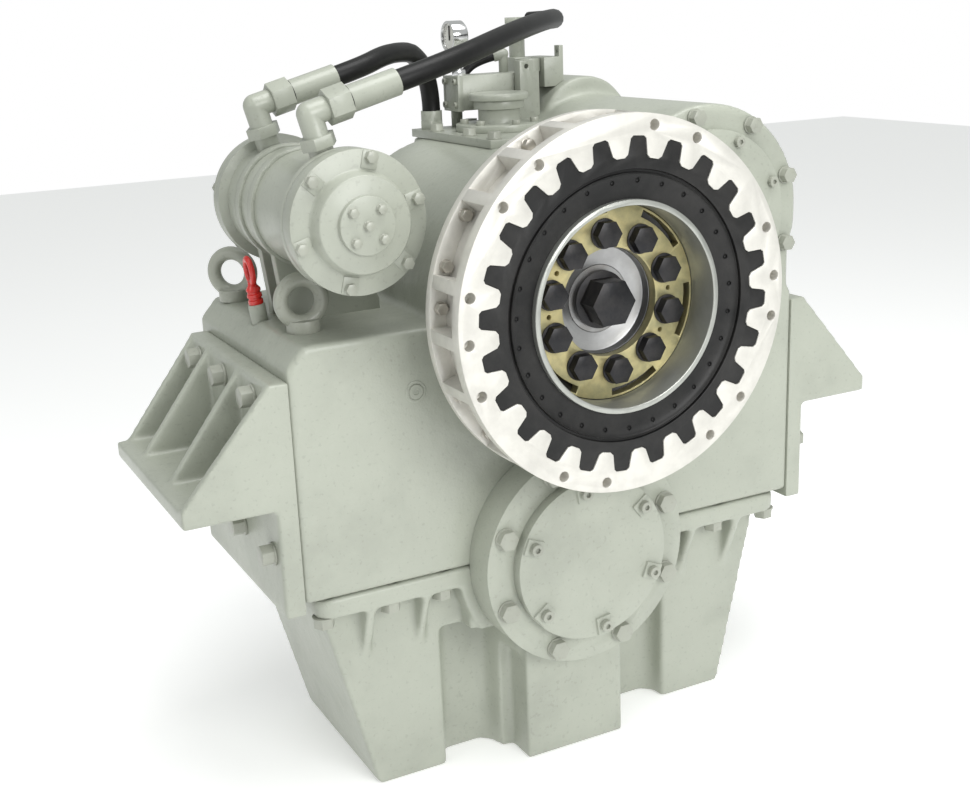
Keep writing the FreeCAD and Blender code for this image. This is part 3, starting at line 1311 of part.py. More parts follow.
def hoses(elbows):
    hose("front_hose", FRONT_HOSE, s.hose_radius)
    hose("rear_hose", REAR_HOSE, s.hose_radius)
    hose("drain_hose", DRAIN_HOSE, s.drain_hose_radius)
    pieces = []
    reach = s.fitting_reach
    for name, y in (("front", -s.front_port), ("rear", -s.rear_port)):
        corner_x = s.cooler_x - s.elbow_height * sine(s.port_tilt)
        corner_z = s.cooler_height + s.elbow_height * cosine(s.port_tilt)
        along_x = cosine(s.port_tilt)
        along_z = sine(s.port_tilt)
        nut = hexagon(name + "_swivel_nut", 38, 28, corner_x + 22 * along_x, y,
                      corner_z + 22 * along_z, LEG_TURN)
        ferrule = rod(name + "_ferrule", s.hose_radius + 3, reach - 50,
                      corner_x + 50 * along_x, y, corner_z + 50 * along_z, LEG_TURN)
        pieces.append(fuse(name + "_cooler_fitting", [nut, ferrule]))
    x, y, z = FRONT_HOSE[-1]
    turn = end_turn(FRONT_HOSE, -1)
    way = turn.multVec(Vector(0, 0, 1))
    corner = Vector(x, y, z) + way * 24
    ferrule = rod("far_ferrule", s.hose_radius + 2, 24, x, y, z, turn)
    ball = doc.addObject("Part::Sphere", "far_corner")
    tie(ball, "Radius", 15)
    place(ball, corner.x, corner.y, corner.z)
    riser = rod("far_riser", 12, corner.z - 932, corner.x, corner.y, 932)
    cap = hexagon("far_hex", 34, 22, corner.x, corner.y, corner.z - 2)
    pieces.append(fuse("far_fitting", [ferrule, ball, riser, cap]))
    x, y, z = REAR_HOSE[-1]
    pieces.append(fuse("rear_foot_fitting", [
        rod("rear_foot_ferrule", s.hose_radius + 2, 14, x, y, z - 14),
        hexagon("rear_foot_nut", 30, z - 14 - s.top_plate_height, x, y, s.top_plate_height)]))
    x, y, z = DRAIN_HOSE[0]
    pieces.append(fuse("thin_foot_fitting", [
        rod("thin_foot_ferrule", s.drain_hose_radius + 2, 14, x, y, z - 14),
        hexagon("thin_foot_nut", 16, z - 14 - s.top_plate_height, x, y,
                s.top_plate_height)]))
    x, y, z = DRAIN_HOSE[-1]
    turn = end_turn(DRAIN_HOSE, -1)
    corner = Vector(x, y, z) + turn.multVec(Vector(0, 0, 1)) * 15
    high = s.valve_bottom + s.valve_size
    ball = doc.addObject("Part::Sphere", "thin_corner")
    tie(ball, "Radius", 8)
    place(ball, corner.x, corner.y, corner.z)
    pieces.append(fuse("thin_far_fitting", [
        rod("thin_far_ferrule", s.drain_hose_radius + 1.5, 15, x, y, z, turn), ball,
        rod("thin_far_riser", 7, corner.z - high, corner.x, corner.y, high)]))
    grouped("hose_fittings", elbows + pieces)


def small_parts():
    """Lifting eyes, dipstick and its tube, and plugs."""
    ring = doc.addObject("Part::Torus", "eye_ring")
    tie(ring, "Radius1", s.eye_major)
    tie(ring, "Radius2", s.eye_minor)
    place(ring, 0, 0, s.eye_collar_height + s.eye_major - 3, REARWARD)
    eye = fuse("eye_bolt", [ring, rod("eye_foot", s.eye_collar, s.eye_collar_height),
                            rod("eye_shank", 10, 15, 0, 0, -15)])
    front = copies("front_eye", eye, [(-326, -158, s.block_top)])
    turned_eye = FreeCAD.Rotation(Vector(0, 0, 1), -40)
    rear = copies("rear_eye", eye, [(-339, 80, s.block_top)], turned_eye)
    grouped("eye_bolts", [front, rear])
    eye_holes = [rod("front_eye_hole", 10 + s.seat_gap, 16, -326, -158, s.block_top - 16),
                 rod("rear_eye_hole", 10 + s.seat_gap, 16, -339, 80, s.block_top - 16)]
    bore = 5 + s.running_gap
    pipe = turned("dip_pipe", [
        (bore, -15), (s.dip_tube_radius, -15), (s.dip_tube_radius, 20), (bore, 20)])
    pipe_there = copies("dip_pipe_place", pipe, [(s.dip_x, s.dip_y, s.block_top)], DIP_TURN)
    grouped("dipstick_tube", [pipe_there])
    stick = turned("dip_rod", [
        (0, -s.dip_length), (5, -s.dip_length), (5, 20), (10, 20), (10, 28), (6, 32),
        (6, 38), (0, 38)])
    grip = cut("dip_grip_bored", block("dip_grip", -5, 5, -15, 15, 36, 84),
               [block("dip_window", -6, 6, -8, 8, 50, 76)])
    dip = fuse("dip_solid", [stick, grip])
    grouped("dipstick", [copies("dip_place", dip, [(s.dip_x, s.dip_y, s.block_top)],
                                DIP_TURN)])
    drain = hex_bolt("drain_plug", 27, 12, 3, s.drain_radius, 10)
    plug = copies("drain_place", drain, [(0, drain_face(), s.drain_height)], FORWARD)
    return eye_holes, plug


def assemble():
    under, under_holes = flange_bolts()
    beside = bracket_bolts()
    carrier_group, carrier_holes = carrier_bolts()
    screw_group, screw_holes = cover_screws()
    grouped("output_cover_bolts", [carrier_group, screw_group])
    input_group, input_holes = input_cover_bolts()
    side_groups, side_holes, lobe_holes = side_cover_bolts()
    grouped("front_cover_bolts", [input_group] + side_groups)
    rear_groups, rear_holes, side_rear_holes, pump_holes = rear_cover_bolts()
    thrust_groups, thrust_holes, cap_holes = thrust_bolts()
    grouped("rear_cover_bolts", rear_groups + thrust_groups)
    top_groups, top_holes, neck_holes = top_screws()
    eye_holes, plug = small_parts()
    grouped("sump_fasteners", [under, plug])
    carrier(carrier_holes, screw_holes)
    shaft_covers(input_holes, side_holes, rear_holes, side_rear_holes, pump_holes)
    thrust_housing(thrust_holes, cap_holes)
    gear_train(coupling())
    elbows = cooler()
    top_cover(top_holes, neck_holes)
    grouped("top_screws", top_groups + [control_valve()])
    pressure_gauge()
    hoses(elbows)
    side_bracket(-1, "left_mounting_bracket", beside[-1])
    side_bracket(1, "right_mounting_bracket", beside[1])
    upper_housing(under_holes + beside[-1] + beside[1] + carrier_holes + input_holes
                  + side_holes + lobe_holes + rear_holes + side_rear_holes + thrust_holes
                  + top_holes + eye_holes)
    lower_case(under_holes + carrier_holes + thrust_holes)


def write_nodes():
    """Check every object, then write one STEP file for each sub-part."""
    os.makedirs("parts", exist_ok=True)
    for thing in doc.Objects:
        if "Invalid" in thing.State or "Error" in thing.State:
            raise RuntimeError("%s is %s" % (thing.Name, thing.State))
    for thing in nodes:
        if thing.Shape.isNull() or not thing.Shape.isValid():
            raise RuntimeError("%s has no valid shape" % thing.Label)
        thing.Shape.exportStep("parts/%s.step" % thing.Label)


assemble()
doc.recompute()
write_nodes()
print("nodes", len(nodes), "solids", sum(len(n.Shape.Solids) for n in nodes))
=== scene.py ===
# %% [markdown]
# # A marine gearbox, piece by piece
# This lesson dresses a reversing gearbox for a boat. The solids come from a CAD model and say where
# every piece is; Blender gives the castings their soft edges, the bolts their chamfers and each
# surface its own finish. Each cell before a step says what the piece is on the real machine, how it
# could be made, and why one way was chosen.

# %% Load the frame
import math

import bmesh
import bpy
from mathutils import Matrix, Vector


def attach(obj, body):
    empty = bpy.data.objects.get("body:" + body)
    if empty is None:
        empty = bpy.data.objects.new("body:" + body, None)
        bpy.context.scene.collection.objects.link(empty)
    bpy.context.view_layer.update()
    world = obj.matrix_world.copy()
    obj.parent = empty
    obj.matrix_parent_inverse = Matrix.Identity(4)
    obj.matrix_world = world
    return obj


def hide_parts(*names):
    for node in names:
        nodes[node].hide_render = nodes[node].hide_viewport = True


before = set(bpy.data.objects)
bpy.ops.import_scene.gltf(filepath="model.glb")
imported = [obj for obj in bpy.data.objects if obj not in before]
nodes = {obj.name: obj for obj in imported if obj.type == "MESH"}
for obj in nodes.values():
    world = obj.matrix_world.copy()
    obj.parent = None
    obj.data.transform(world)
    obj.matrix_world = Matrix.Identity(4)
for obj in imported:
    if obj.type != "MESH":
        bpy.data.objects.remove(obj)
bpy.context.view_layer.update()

# %% [markdown]
# ## Camera
# The photograph looks down a little, from the left of the coupling. Its lines were traced back to a
# camera about two metres away, so the camera gets that place and that turn, and a lens to match.

# %% Camera
CAMERA_PLACE = (-0.86374, -1.70411, 1.01224)
LENS = 49.81
right = Vector((0.88564, -0.46281, -0.03812))
up = Vector((0.16492, 0.23675, 0.95747))
back = Vector((-0.43410, -0.85426, 0.28600))
bpy.ops.object.camera_add(location=CAMERA_PLACE)
camera = bpy.context.object
camera.name = "photo_camera"
turn = Matrix((right, up, back)).transposed()
camera.rotation_euler = turn.to_euler()
camera.data.sensor_width = 36.0
camera.data.lens = LENS
bpy.context.scene.camera = camera
print("lens:", camera.data.lens, "mm")

# %% [markdown]
# ## Hoses
# Three hoses join the cooler and the control valve. A hose is one length of rubber, so each is a
# NURBS curve with the same few points as its solid. The curve bends smoothly past them, where a
# chain of cylinders would kink. A curve's thickness is its bevel depth times each point's radius,
# so the depth is one and the points carry the hose's real radius.

# %% Hoses
HOSES = {
    "front_hose": (0.0135, [
        (-0.2047, -0.2100, 0.9276), (-0.1323, -0.2100, 0.9470), (-0.0150, -0.1400, 0.9730),
        (0.0750, -0.0620, 0.9850), (0.1400, 0.0100, 0.9880), (0.1720, 0.0580, 0.9860),
        (0.1800, 0.0960, 0.9850), (0.1660, 0.1260, 0.9840)]),
    "rear_hose": (0.0135, [
        (-0.2047, -0.0120, 0.9276), (-0.1661, -0.0120, 0.9379), (-0.1190, 0.0180, 0.9510),
        (-0.0740, 0.0560, 0.9520), (-0.0479, 0.0810, 0.9474), (-0.0213, 0.1057, 0.9264),
        (-0.0060, 0.1200, 0.8900), (-0.0060, 0.1200, 0.8640)]),
    "drain_hose": (0.0065, [
        (0.0400, 0.1290, 0.8640), (0.0400, 0.1290, 0.8880), (0.0520, 0.1285, 0.9120),
        (0.0720, 0.1240, 0.9300), (0.0970, 0.1140, 0.9360)]),
}
hoses = {}
for name, (radius, points) in HOSES.items():
    data = bpy.data.curves.new(name + "_line", "CURVE")
    data.dimensions = "3D"
    spline = data.splines.new("NURBS")
    spline.points.add(len(points) - 1)
    for point, place in zip(spline.points, points):
        point.co = (*place, 1.0)
        point.radius = radius
    spline.order_u = 3
    spline.use_endpoint_u = True
    spline.resolution_u = 12
    data.bevel_depth = 1.0
    data.bevel_resolution = 5
    data.use_fill_caps = True
    hose = bpy.data.objects.new("hose_" + name.replace("_hose", ""), data)
    bpy.context.scene.collection.objects.link(hose)
    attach(hose, "housing")
    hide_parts(name)
    hoses[name] = hose
print("hoses:", list(hoses))

# %% [markdown]
# ## A recipe book for finishes
# Every finish below is a Principled shader with a few texture nodes in front of it. Small helpers
# keep the recipes short: one adds a node and fills its sockets, one joins two sockets, and the rest
# make the steps that come back in most finishes. All patterns read Object coordinates, which are
# metres here, so a scale of 400 is a grain of a few millimetres.

# %% Finish helpers
def start_finish(name, colour, rough, metal=0.0, coat=0.0):
    """A new material with its shader's plain values set; returns the material, tree and shader."""
    made = bpy.data.materials.new(name)
    made.use_nodes = True
    made.diffuse_color = (*colour, 1.0)
    tree = made.node_tree
    shader = tree.nodes["Principled BSDF"]
    shader.inputs["Base Color"].default_value = (*colour, 1.0)
    shader.inputs["Roughness"].default_value = rough
    shader.inputs["Metallic"].default_value = metal
    shader.inputs["Coat Weight"].default_value = coat
    return made, tree, shader


def add(tree, kind, values=None, **settings):
    """A node of one kind, with its settings and the values of its sockets."""
    made = tree.nodes.new(kind)
    for key, value in settings.items():
        setattr(made, key, value)
    for key, value in (values or {}).items():
        made.inputs[key].default_value = value
    return made


def join(tree, source, target):
    """Link one socket to another."""
    tree.links.new(source, target)


def noise(tree, where, scale, detail=4.0, rough=0.55):
    """A noise texture read at a place, as one number."""
    made = add(tree, "ShaderNodeTexNoise", {"Scale": scale, "Detail": detail, "Roughness": rough})
    join(tree, where, made.inputs["Vector"])
    return made.outputs["Fac"]


def ramp(tree, source, stops):
    """A colour ramp; stops are (position, colour) and a colour may be one number."""
    made = add(tree, "ShaderNodeValToRGB")
    elements = made.color_ramp.elements
    while len(elements) < len(stops):
        elements.new(0.5)
    for element, (place, colour) in zip(elements, stops):
        element.position = place
        if isinstance(colour, (int, float)):
            colour = (colour, colour, colour)
        element.color = (*colour, 1.0)
    join(tree, source, made.inputs["Fac"])
    return made.outputs["Color"]


def maths(tree, operation, first, second=None):
    """One step of arithmetic; each value is a socket or a plain number."""
    made = add(tree, "ShaderNodeMath", operation=operation)
    for index, value in enumerate((first, second)):
        if value is None:
            continue
        if isinstance(value, (int, float)):
            made.inputs[index].default_value = value
        else:
            join(tree, value, made.inputs[index])
    return made.outputs["Value"]


def split(tree, where):
    """The X, Y and Z of a place, each as a socket."""
    made = add(tree, "ShaderNodeSeparateXYZ")
    join(tree, where, made.inputs["Vector"])
    return made.outputs["X"], made.outputs["Y"], made.outputs["Z"]


def diagonal(tree, first, second):
    """The distance that two steps at right angles make together."""
    return maths(tree, "SQRT", maths(tree, "ADD", maths(tree, "MULTIPLY", first, first),
                                     maths(tree, "MULTIPLY", second, second)))


def mixed(tree, amount, first, second, blend="MIX"):
    """A mix of two colours; each is a socket or a plain colour."""
    made = add(tree, "ShaderNodeMix", data_type="RGBA", blend_type=blend)
    if isinstance(amount, (int, float)):
        made.inputs["Factor"].default_value = amount
    else:
        join(tree, amount, made.inputs["Factor"])
    for index, value in ((6, first), (7, second)):
        if isinstance(value, tuple):
            made.inputs[index].default_value = (*value, 1.0)
        else:
            join(tree, value, made.inputs[index])
    return made.outputs[2]


def bumped(tree, shader, heights):
    """Stack bumps on a shader; heights are (socket, strength, distance)."""
    before = None
    for height, strength, distance in heights:
        made = add(tree, "ShaderNodeBump", {"Strength": strength, "Distance": distance})
        join(tree, height, made.inputs["Height"])
        if before is not None:
            join(tree, before, made.inputs["Normal"])
        before = made.outputs["Normal"]
    join(tree, before, shader.inputs["Normal"])


def object_place(tree, offset=(0.0, 0.0, 0.0)):
    """Object coordinates, measured from a point of the machine."""
    where = add(tree, "ShaderNodeTexCoord").outputs["Object"]
    if offset == (0.0, 0.0, 0.0):
        return where
    made = add(tree, "ShaderNodeMapping", vector_type="POINT")
    made.inputs["Location"].default_value = tuple(-v for v in offset)
    join(tree, where, made.inputs["Vector"])
    return made.outputs["Vector"]


# %% [markdown]
# ## Grey-green enamel on sand castings
# The housing is cast in sand, so under the paint lies a fine grain with slow waves in it. The
# enamel is glossy, a little thinner on the high spots, and dust has dulled it in clouds.

# %% Enamel finishes
def enamel(name, colour, grain, gloss):
    """Glossy paint in cloudy tones over the grain of what is under it."""
    made, tree, shader = start_finish(name, colour, gloss, coat=0.25)
    shader.inputs["Coat Roughness"].default_value = 0.18
    where = object_place(tree)
    clouds = noise(tree, where, 7.0, 5.0, 0.6)
    fine = noise(tree, where, 420.0, 3.0, 0.6)
    lumps = noise(tree, where, 60.0, 3.0, 0.5)
    dark = tuple(v * 0.86 for v in colour)
    light = tuple(min(1.0, v * 1.06) for v in colour)
    tint = ramp(tree, clouds, [(0.3, dark), (0.5, colour), (0.72, light)])
    specks = ramp(tree, noise(tree, where, 190.0, 2.0, 0.4), [(0.30, 0.82), (0.38, 1.0)])
    join(tree, mixed(tree, 0.6, tint, specks, "MULTIPLY"), shader.inputs["Base Color"])
    join(tree, ramp(tree, clouds, [(0.3, gloss + 0.14), (0.7, gloss)]),
         shader.inputs["Roughness"])
    bumped(tree, shader, [(lumps, 0.25 * grain, 0.004), (fine, 0.30 * grain, 0.0008)])
    return made


casting_paint = enamel("casting_enamel", (0.365, 0.385, 0.325), 1.0, 0.36)
fitted_paint = enamel("fitting_enamel", (0.350, 0.368, 0.312), 0.45, 0.32)
bolt_paint = enamel("bolt_enamel", (0.330, 0.342, 0.290), 0.3, 0.32)
print("enamels:", casting_paint.name, fitted_paint.name, bolt_paint.name)

# %% [markdown]
# ## Metals
# A turned face carries rings round its own axis, so its bump is a noise stretched along the radius.
# Cast aluminium is nearly white with a faint grain. Yellow zinc drifts from gold to an olive
# brown. Black oxide is dark, with a thin oil sheen. Three finishes change with the place: the bolts
# far out on the ring are bare steel, and painted shade makes the cup's floor and the hub's outer
# part nearly black, as they lie deep in shade.

# %% Metal finishes
COUPLING = (0.0, 0.0, 0.658)
OUTPUT = (0.0, 0.0, 0.303)
RETAINER_BOLTS_FROM = 0.19
# Painted shade: past these limits the cup's floor and the hub's outer part are painted near black.
CUP_FLOOR_PAINTED_SHADE_FROM = -0.3485
HUB_PAINTED_SHADE_FROM = 0.0665
PAINTED_SHADE_BLACK = (0.010, 0.010, 0.010)


def turned_metal(name, colour, rough, centre, rings=0.35, mottle=0.06, metal=1.0):
    """Metal cut on a lathe about an axis along Y through centre."""
    made, tree, shader = start_finish(name, colour, rough, metal)
    where = object_place(tree, centre)
    across, along, high = split(tree, where)
    line = add(tree, "ShaderNodeCombineXYZ")
    join(tree, diagonal(tree, across, high), line.inputs["X"])
    join(tree, along, line.inputs["Y"])
    grooves = noise(tree, line.outputs["Vector"], 900.0, 2.0, 0.5)
    stains = noise(tree, where, 26.0, 4.0, 0.6)
    dark = tuple(v * (1 - mottle * 3) for v in colour)
    join(tree, ramp(tree, stains, [(0.32, dark), (0.6, colour)]), shader.inputs["Base Color"])
    join(tree, ramp(tree, stains, [(0.3, rough + 0.12), (0.7, rough)]),
         shader.inputs["Roughness"])
    bumped(tree, shader, [(grooves, rings, 0.0004)])
    return made


def plated(name, colour, other, rough, grain=0.15, metal=1.0):
    """Plated or plain metal whose colour drifts between two tones."""
    made, tree, shader = start_finish(name, colour, rough, metal)
    where = object_place(tree)
    drift = noise(tree, where, 38.0, 4.0, 0.65)
    fine = noise(tree, where, 700.0, 3.0, 0.6)
    join(tree, ramp(tree, drift, [(0.35, other), (0.62, colour)]), shader.inputs["Base Color"])
    join(tree, ramp(tree, drift, [(0.3, rough + 0.15), (0.65, rough)]),
         shader.inputs["Roughness"])
    bumped(tree, shader, [(fine, grain, 0.0006)])
    return made


def recolour(made, measure, limit, colour, metal):
    """Give a finish a second colour and metalness where a measure passes its limit."""
    tree = made.node_tree
    shader = tree.nodes["Principled BSDF"]
    amount = maths(tree, "GREATER_THAN", measure, limit)
    source = shader.inputs["Base Color"].links[0].from_socket
    join(tree, mixed(tree, amount, source, colour), shader.inputs["Base Color"])
    change = ramp(tree, amount, [(0.0, shader.inputs["Metallic"].default_value), (1.0, metal)])
    join(tree, change, shader.inputs["Metallic"])


ring_metal = turned_metal("ring_aluminium", (0.66, 0.645, 0.60), 0.40, COUPLING, rings=0.12,
                          mottle=0.05, metal=0.45)
hub_metal = turned_metal("hub_steel", (0.42, 0.42, 0.42), 0.30, COUPLING)
lip_metal = turned_metal("lip_steel", (0.42, 0.43, 0.40), 0.30, COUPLING, metal=0.8)
flange_metal = turned_metal("flange_steel", (0.46, 0.46, 0.45), 0.28, OUTPUT)
gear_metal = plated("gear_steel", (0.34, 0.34, 0.34), (0.26, 0.25, 0.24), 0.32)
zinc_gold = plated("yellow_zinc", (0.47, 0.41, 0.21), (0.32, 0.30, 0.17), 0.34, 0.2, 0.7)
black_oxide = plated("black_oxide", (0.018, 0.018, 0.020), (0.035, 0.033, 0.033), 0.30, 0.2, 0.6)
# The retainer bolts far out are bare steel; painted shade makes the hub's outer part, and below it
# the cup's floor, near black.
for made, limit, colour, metal in (
        (black_oxide, RETAINER_BOLTS_FROM, (0.46, 0.44, 0.40), 1.0),
        (hub_metal, HUB_PAINTED_SHADE_FROM, PAINTED_SHADE_BLACK, 0.0)):
    across, along, high = split(made.node_tree, object_place(made.node_tree, COUPLING))
    recolour(made, diagonal(made.node_tree, across, high), limit, colour, metal)
across, along, high = split(lip_metal.node_tree, object_place(lip_metal.node_tree))
recolour(lip_metal, along, CUP_FLOOR_PAINTED_SHADE_FROM, PAINTED_SHADE_BLACK, 0.0)
chrome = plated("chrome", (0.80, 0.80, 0.80), (0.74, 0.74, 0.75), 0.08, 0.02)
print("metals made")

# %% [markdown]
# ## Rubber and plastic
# The coupling's rubber is matt and slightly dusty, with a ring of small pits from its mould, each
# with painted shade inside. The hoses are smoother. The dipstick's handle is glossy red plastic.

# %% Rubber and plastic finishes
MARK_COUNT = 27
MARK_CIRCLE = 0.1505
MARK_SHIFT = 40.2
PIT_ARC = 0.150
RUBBER_SPECULAR = 0.28


def rubber(name, colour, dust, rough, pits=False):
    """Dusty matt rubber; with pits, the coupling's ring of mould marks gets painted shade, darkest
    in the middle of each mark.

    The shift holds whole turns, so no angle is negative, and the part that sets the first mark.
    """
    made, tree, shader = start_finish(name, colour, rough)
    shader.inputs["Specular IOR Level"].default_value = RUBBER_SPECULAR
    where = object_place(tree, COUPLING if pits else (0.0, 0.0, 0.0))
    powder = noise(tree, where, 14.0, 6.0, 0.7)
    fine = noise(tree, where, 600.0, 3.0, 0.6)
    colours = ramp(tree, powder, [(0.4, colour), (0.75, dust)])
    if pits:
        across, _, high = split(tree, where)
        angle = maths(tree, "ARCTAN2", high, across)
        step = 2 * math.pi / MARK_COUNT
        steps = maths(tree, "ADD", maths(tree, "DIVIDE", angle, step), MARK_SHIFT)
        turned = maths(tree, "SUBTRACT", maths(tree, "FRACT", steps), 0.5)
        sideways = maths(tree, "MULTIPLY", turned, step * PIT_ARC)
        outward = maths(tree, "SUBTRACT", diagonal(tree, across, high), MARK_CIRCLE)
        reach = diagonal(tree, sideways, outward)
        # Painted shade: near black inside each mould mark, fading out just past its rim.
        painted_pit_shade = ramp(tree, maths(tree, "MULTIPLY", reach, 200.0), [(0.55, 0.0), (0.85, 1.0)])
        colours = mixed(tree, painted_pit_shade, (0.004, 0.004, 0.004), colours)
    join(tree, colours, shader.inputs["Base Color"])
    bumped(tree, shader, [(fine, 0.25, 0.0006)])
    return made


coupling_rubber = rubber("coupling_rubber", (0.009, 0.009, 0.009), (0.026, 0.025, 0.024), 0.42,
                         pits=True)
hose_rubber = rubber("hose_rubber", (0.006, 0.006, 0.006), (0.013, 0.013, 0.013), 0.42)
red_plastic, tree, shader = start_finish("red_plastic", (0.60, 0.02, 0.015), 0.25, coat=0.4)
bumped(tree, shader, [(noise(tree, object_place(tree), 300.0), 0.1, 0.0005)])
needle_paint, tree, shader = start_finish("needle_paint", (0.02, 0.02, 0.02), 0.5)
bumped(tree, shader, [(noise(tree, object_place(tree), 900.0), 0.1, 0.0003)])
for hose in hoses.values():
    hose.data.materials.append(hose_rubber)
print("rubbers made")

# %% [markdown]
# ## Dressing a solid
# The CAD meshes are loose triangles with hard edges. A real casting has rounded edges and a real
# turned piece has small chamfers. Two helpers make a finished copy of a solid: one bevels its
# edges, as a machined piece, and one melts it into voxels and smooths it, as a casting. Each copy
# then takes the place of its solid and rides on the same body.

# %% Helpers that dress a solid
SHARP = math.radians(30)
CAST_FACES = 70000


def fresh_copy(node, name):
    """A merged copy of a CAD node that stands alone, with its place in its mesh."""
    bpy.ops.object.select_all(action="DESELECT")
    source = nodes[node]
    data = source.data.copy()
    data.materials.clear()
    piece = bpy.data.objects.new(name, data)
    bpy.context.scene.collection.objects.link(piece)
    data.transform(source.matrix_world)
    shape = bmesh.new()
    shape.from_mesh(data)
    bmesh.ops.remove_doubles(shape, verts=shape.verts, dist=2e-6)
    bmesh.ops.dissolve_limit(shape, angle_limit=math.radians(0.5), verts=shape.verts,
                             edges=shape.edges)
    bmesh.ops.recalc_face_normals(shape, faces=shape.faces)
    shape.to_mesh(data)
    shape.free()
    return piece


def apply_all(piece):
    """Apply every modifier of a piece."""
    bpy.ops.object.select_all(action="DESELECT")
    bpy.context.view_layer.objects.active = piece
    piece.select_set(True)
    for modifier in list(piece.modifiers):
        bpy.ops.object.modifier_apply(modifier=modifier.name)


def smooth(piece, degrees=35):
    """Shade a piece smooth, except across edges sharper than an angle."""
    bpy.ops.object.select_all(action="DESELECT")
    bpy.context.view_layer.objects.active = piece
    piece.select_set(True)
    bpy.ops.object.shade_smooth_by_angle(angle=math.radians(degrees))


def settle(piece, node, body, finish):
    """Give a piece its finish and its body, in place of a CAD node."""
    piece.data.materials.clear()
    piece.data.materials.append(finish)
    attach(piece, body)
    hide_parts(node)


def edged(piece, width):
    """Bevel the sharp edges of a piece and shade it smooth between them."""
    bevel = piece.modifiers.new("edges", "BEVEL")
    bevel.width = width
    bevel.segments = 2
    bevel.limit_method = "ANGLE"
    bevel.angle_limit = SHARP
    bevel.use_clamp_overlap = True
    apply_all(piece)
    smooth(piece)
    return piece


def machined(node, finish, body="housing", width=0.001):
    """A bevelled copy of a machined solid."""
    piece = edged(fresh_copy(node, node + "_dressed"), width)
    settle(piece, node, body, finish)
    return piece


def cast(node, voxel, rounds):
    """A sand-cast copy of a solid: melted into voxels, smoothed, then thinned where it is flat."""
    piece = fresh_copy(node, node + "_dressed")
    melt = piece.modifiers.new("melt", "REMESH")
    melt.mode = "VOXEL"
    melt.voxel_size = voxel
    soft = piece.modifiers.new("soft", "SMOOTH")
    soft.factor = 0.5
    soft.iterations = rounds
    apply_all(piece)
    thin = piece.modifiers.new("thin", "DECIMATE")
    thin.ratio = min(1.0, CAST_FACES / len(piece.data.polygons))
    apply_all(piece)
    smooth(piece, 50)
    settle(piece, node, "housing", casting_paint)
    print(node, "faces:", len(piece.data.polygons))


# %% [markdown]
# ## Castings
# The two halves of the housing, its brackets and its covers are sand castings. Beveling hundreds of
# edges where cylinders run into walls is slow and breaks at the corners, so the solids are melted
# into small voxels and smoothed, which rounds every edge and fills every inner corner at once.

# %% Castings
for node, voxel, rounds in (
        ("upper_housing", 0.0045, 8), ("lower_case", 0.004, 7),
        ("left_mounting_bracket", 0.003, 6), ("right_mounting_bracket", 0.003, 6),
        ("oil_pump", 0.003, 4), ("thrust_bearing_housing", 0.003, 4)):
    cast(node, voxel, rounds)

# %% [markdown]
# ## Covers, plates and controls
# These are machined before they are painted, so their edges are crisp with a small chamfer. A bevel
# modifier on a merged copy of the solid does that.

# %% Covers, plates and controls
for node in ("output_bearing_carrier", "output_front_cover", "input_bearing_cover",
             "side_shaft_cover", "rear_shaft_covers", "output_seal_cap"):
    machined(node, casting_paint, width=0.0012)
for node in ("top_cover_plate", "filler_neck", "control_valve", "valve_end_cover", "filter_block",
             "cooler_shell", "cooler_rear_cap", "cooler_mounts"):
    machined(node, fitted_paint, width=0.0012)
machined("breather_cap", fitted_paint, "breather", 0.0012)
machined("control_lever", fitted_paint, "lever", 0.0015)
print("covers dressed")

# %% [markdown]
# ## Turned shapes by extruding rings
# Many pieces here are round and stepped. Instead of drawing a profile and spinning it, a helper
# starts from one disc and extrudes it ring by ring, scaling the end each time. That keeps every
# ring's edge as a loop, which a bevel then softens.

# %% Helper for stepped round pieces
FACING_ENGINE = Matrix.Rotation(math.pi / 2, 4, "X")


def stepped(name, outline, where, turn, sides):
    """A stepped round piece from (radius, height) pairs, moved to its place."""
    bpy.ops.object.select_all(action="DESELECT")
    first, base = outline[0]
    bpy.ops.mesh.primitive_circle_add(vertices=sides, radius=first, fill_type="NGON",
                                      location=(0.0, 0.0, 0.0))
    piece = bpy.context.object
    piece.name = name
    bpy.ops.object.mode_set(mode="EDIT")
    bpy.ops.mesh.select_all(action="SELECT")
    bpy.ops.transform.translate(value=(0.0, 0.0, base))
    for (before, low), (radius, high) in zip(outline, outline[1:]):
        bpy.ops.mesh.extrude_region_move(TRANSFORM_OT_translate={"value": (0.0, 0.0, high - low)})
        ratio = radius / before
        bpy.ops.transform.resize(value=(ratio, ratio, 1.0), center_override=(0.0, 0.0, high))
    bpy.ops.mesh.select_all(action="SELECT")
    bpy.ops.mesh.remove_doubles(threshold=1e-6)
    bpy.ops.mesh.normals_make_consistent(inside=False)
    bpy.ops.object.mode_set(mode="OBJECT")
    piece.data.transform(Matrix.Translation(where) @ turn)
    return piece


def merged(pieces, name):
    """Join pieces into one object at the origin."""
    bpy.ops.object.select_all(action="DESELECT")
    for piece in pieces:
        piece.select_set(True)
    bpy.context.view_layer.objects.active = pieces[0]
    bpy.ops.object.join()
    pieces[0].name = name
    return pieces[0]


# %% [markdown]
# ## Cooler cap
# The front cap is a turned casting: a flat rim, a raised round boss with a sloped shoulder, and a
# small round inspection cover on top. Under each of the six rim bolts there is a low cast pad.

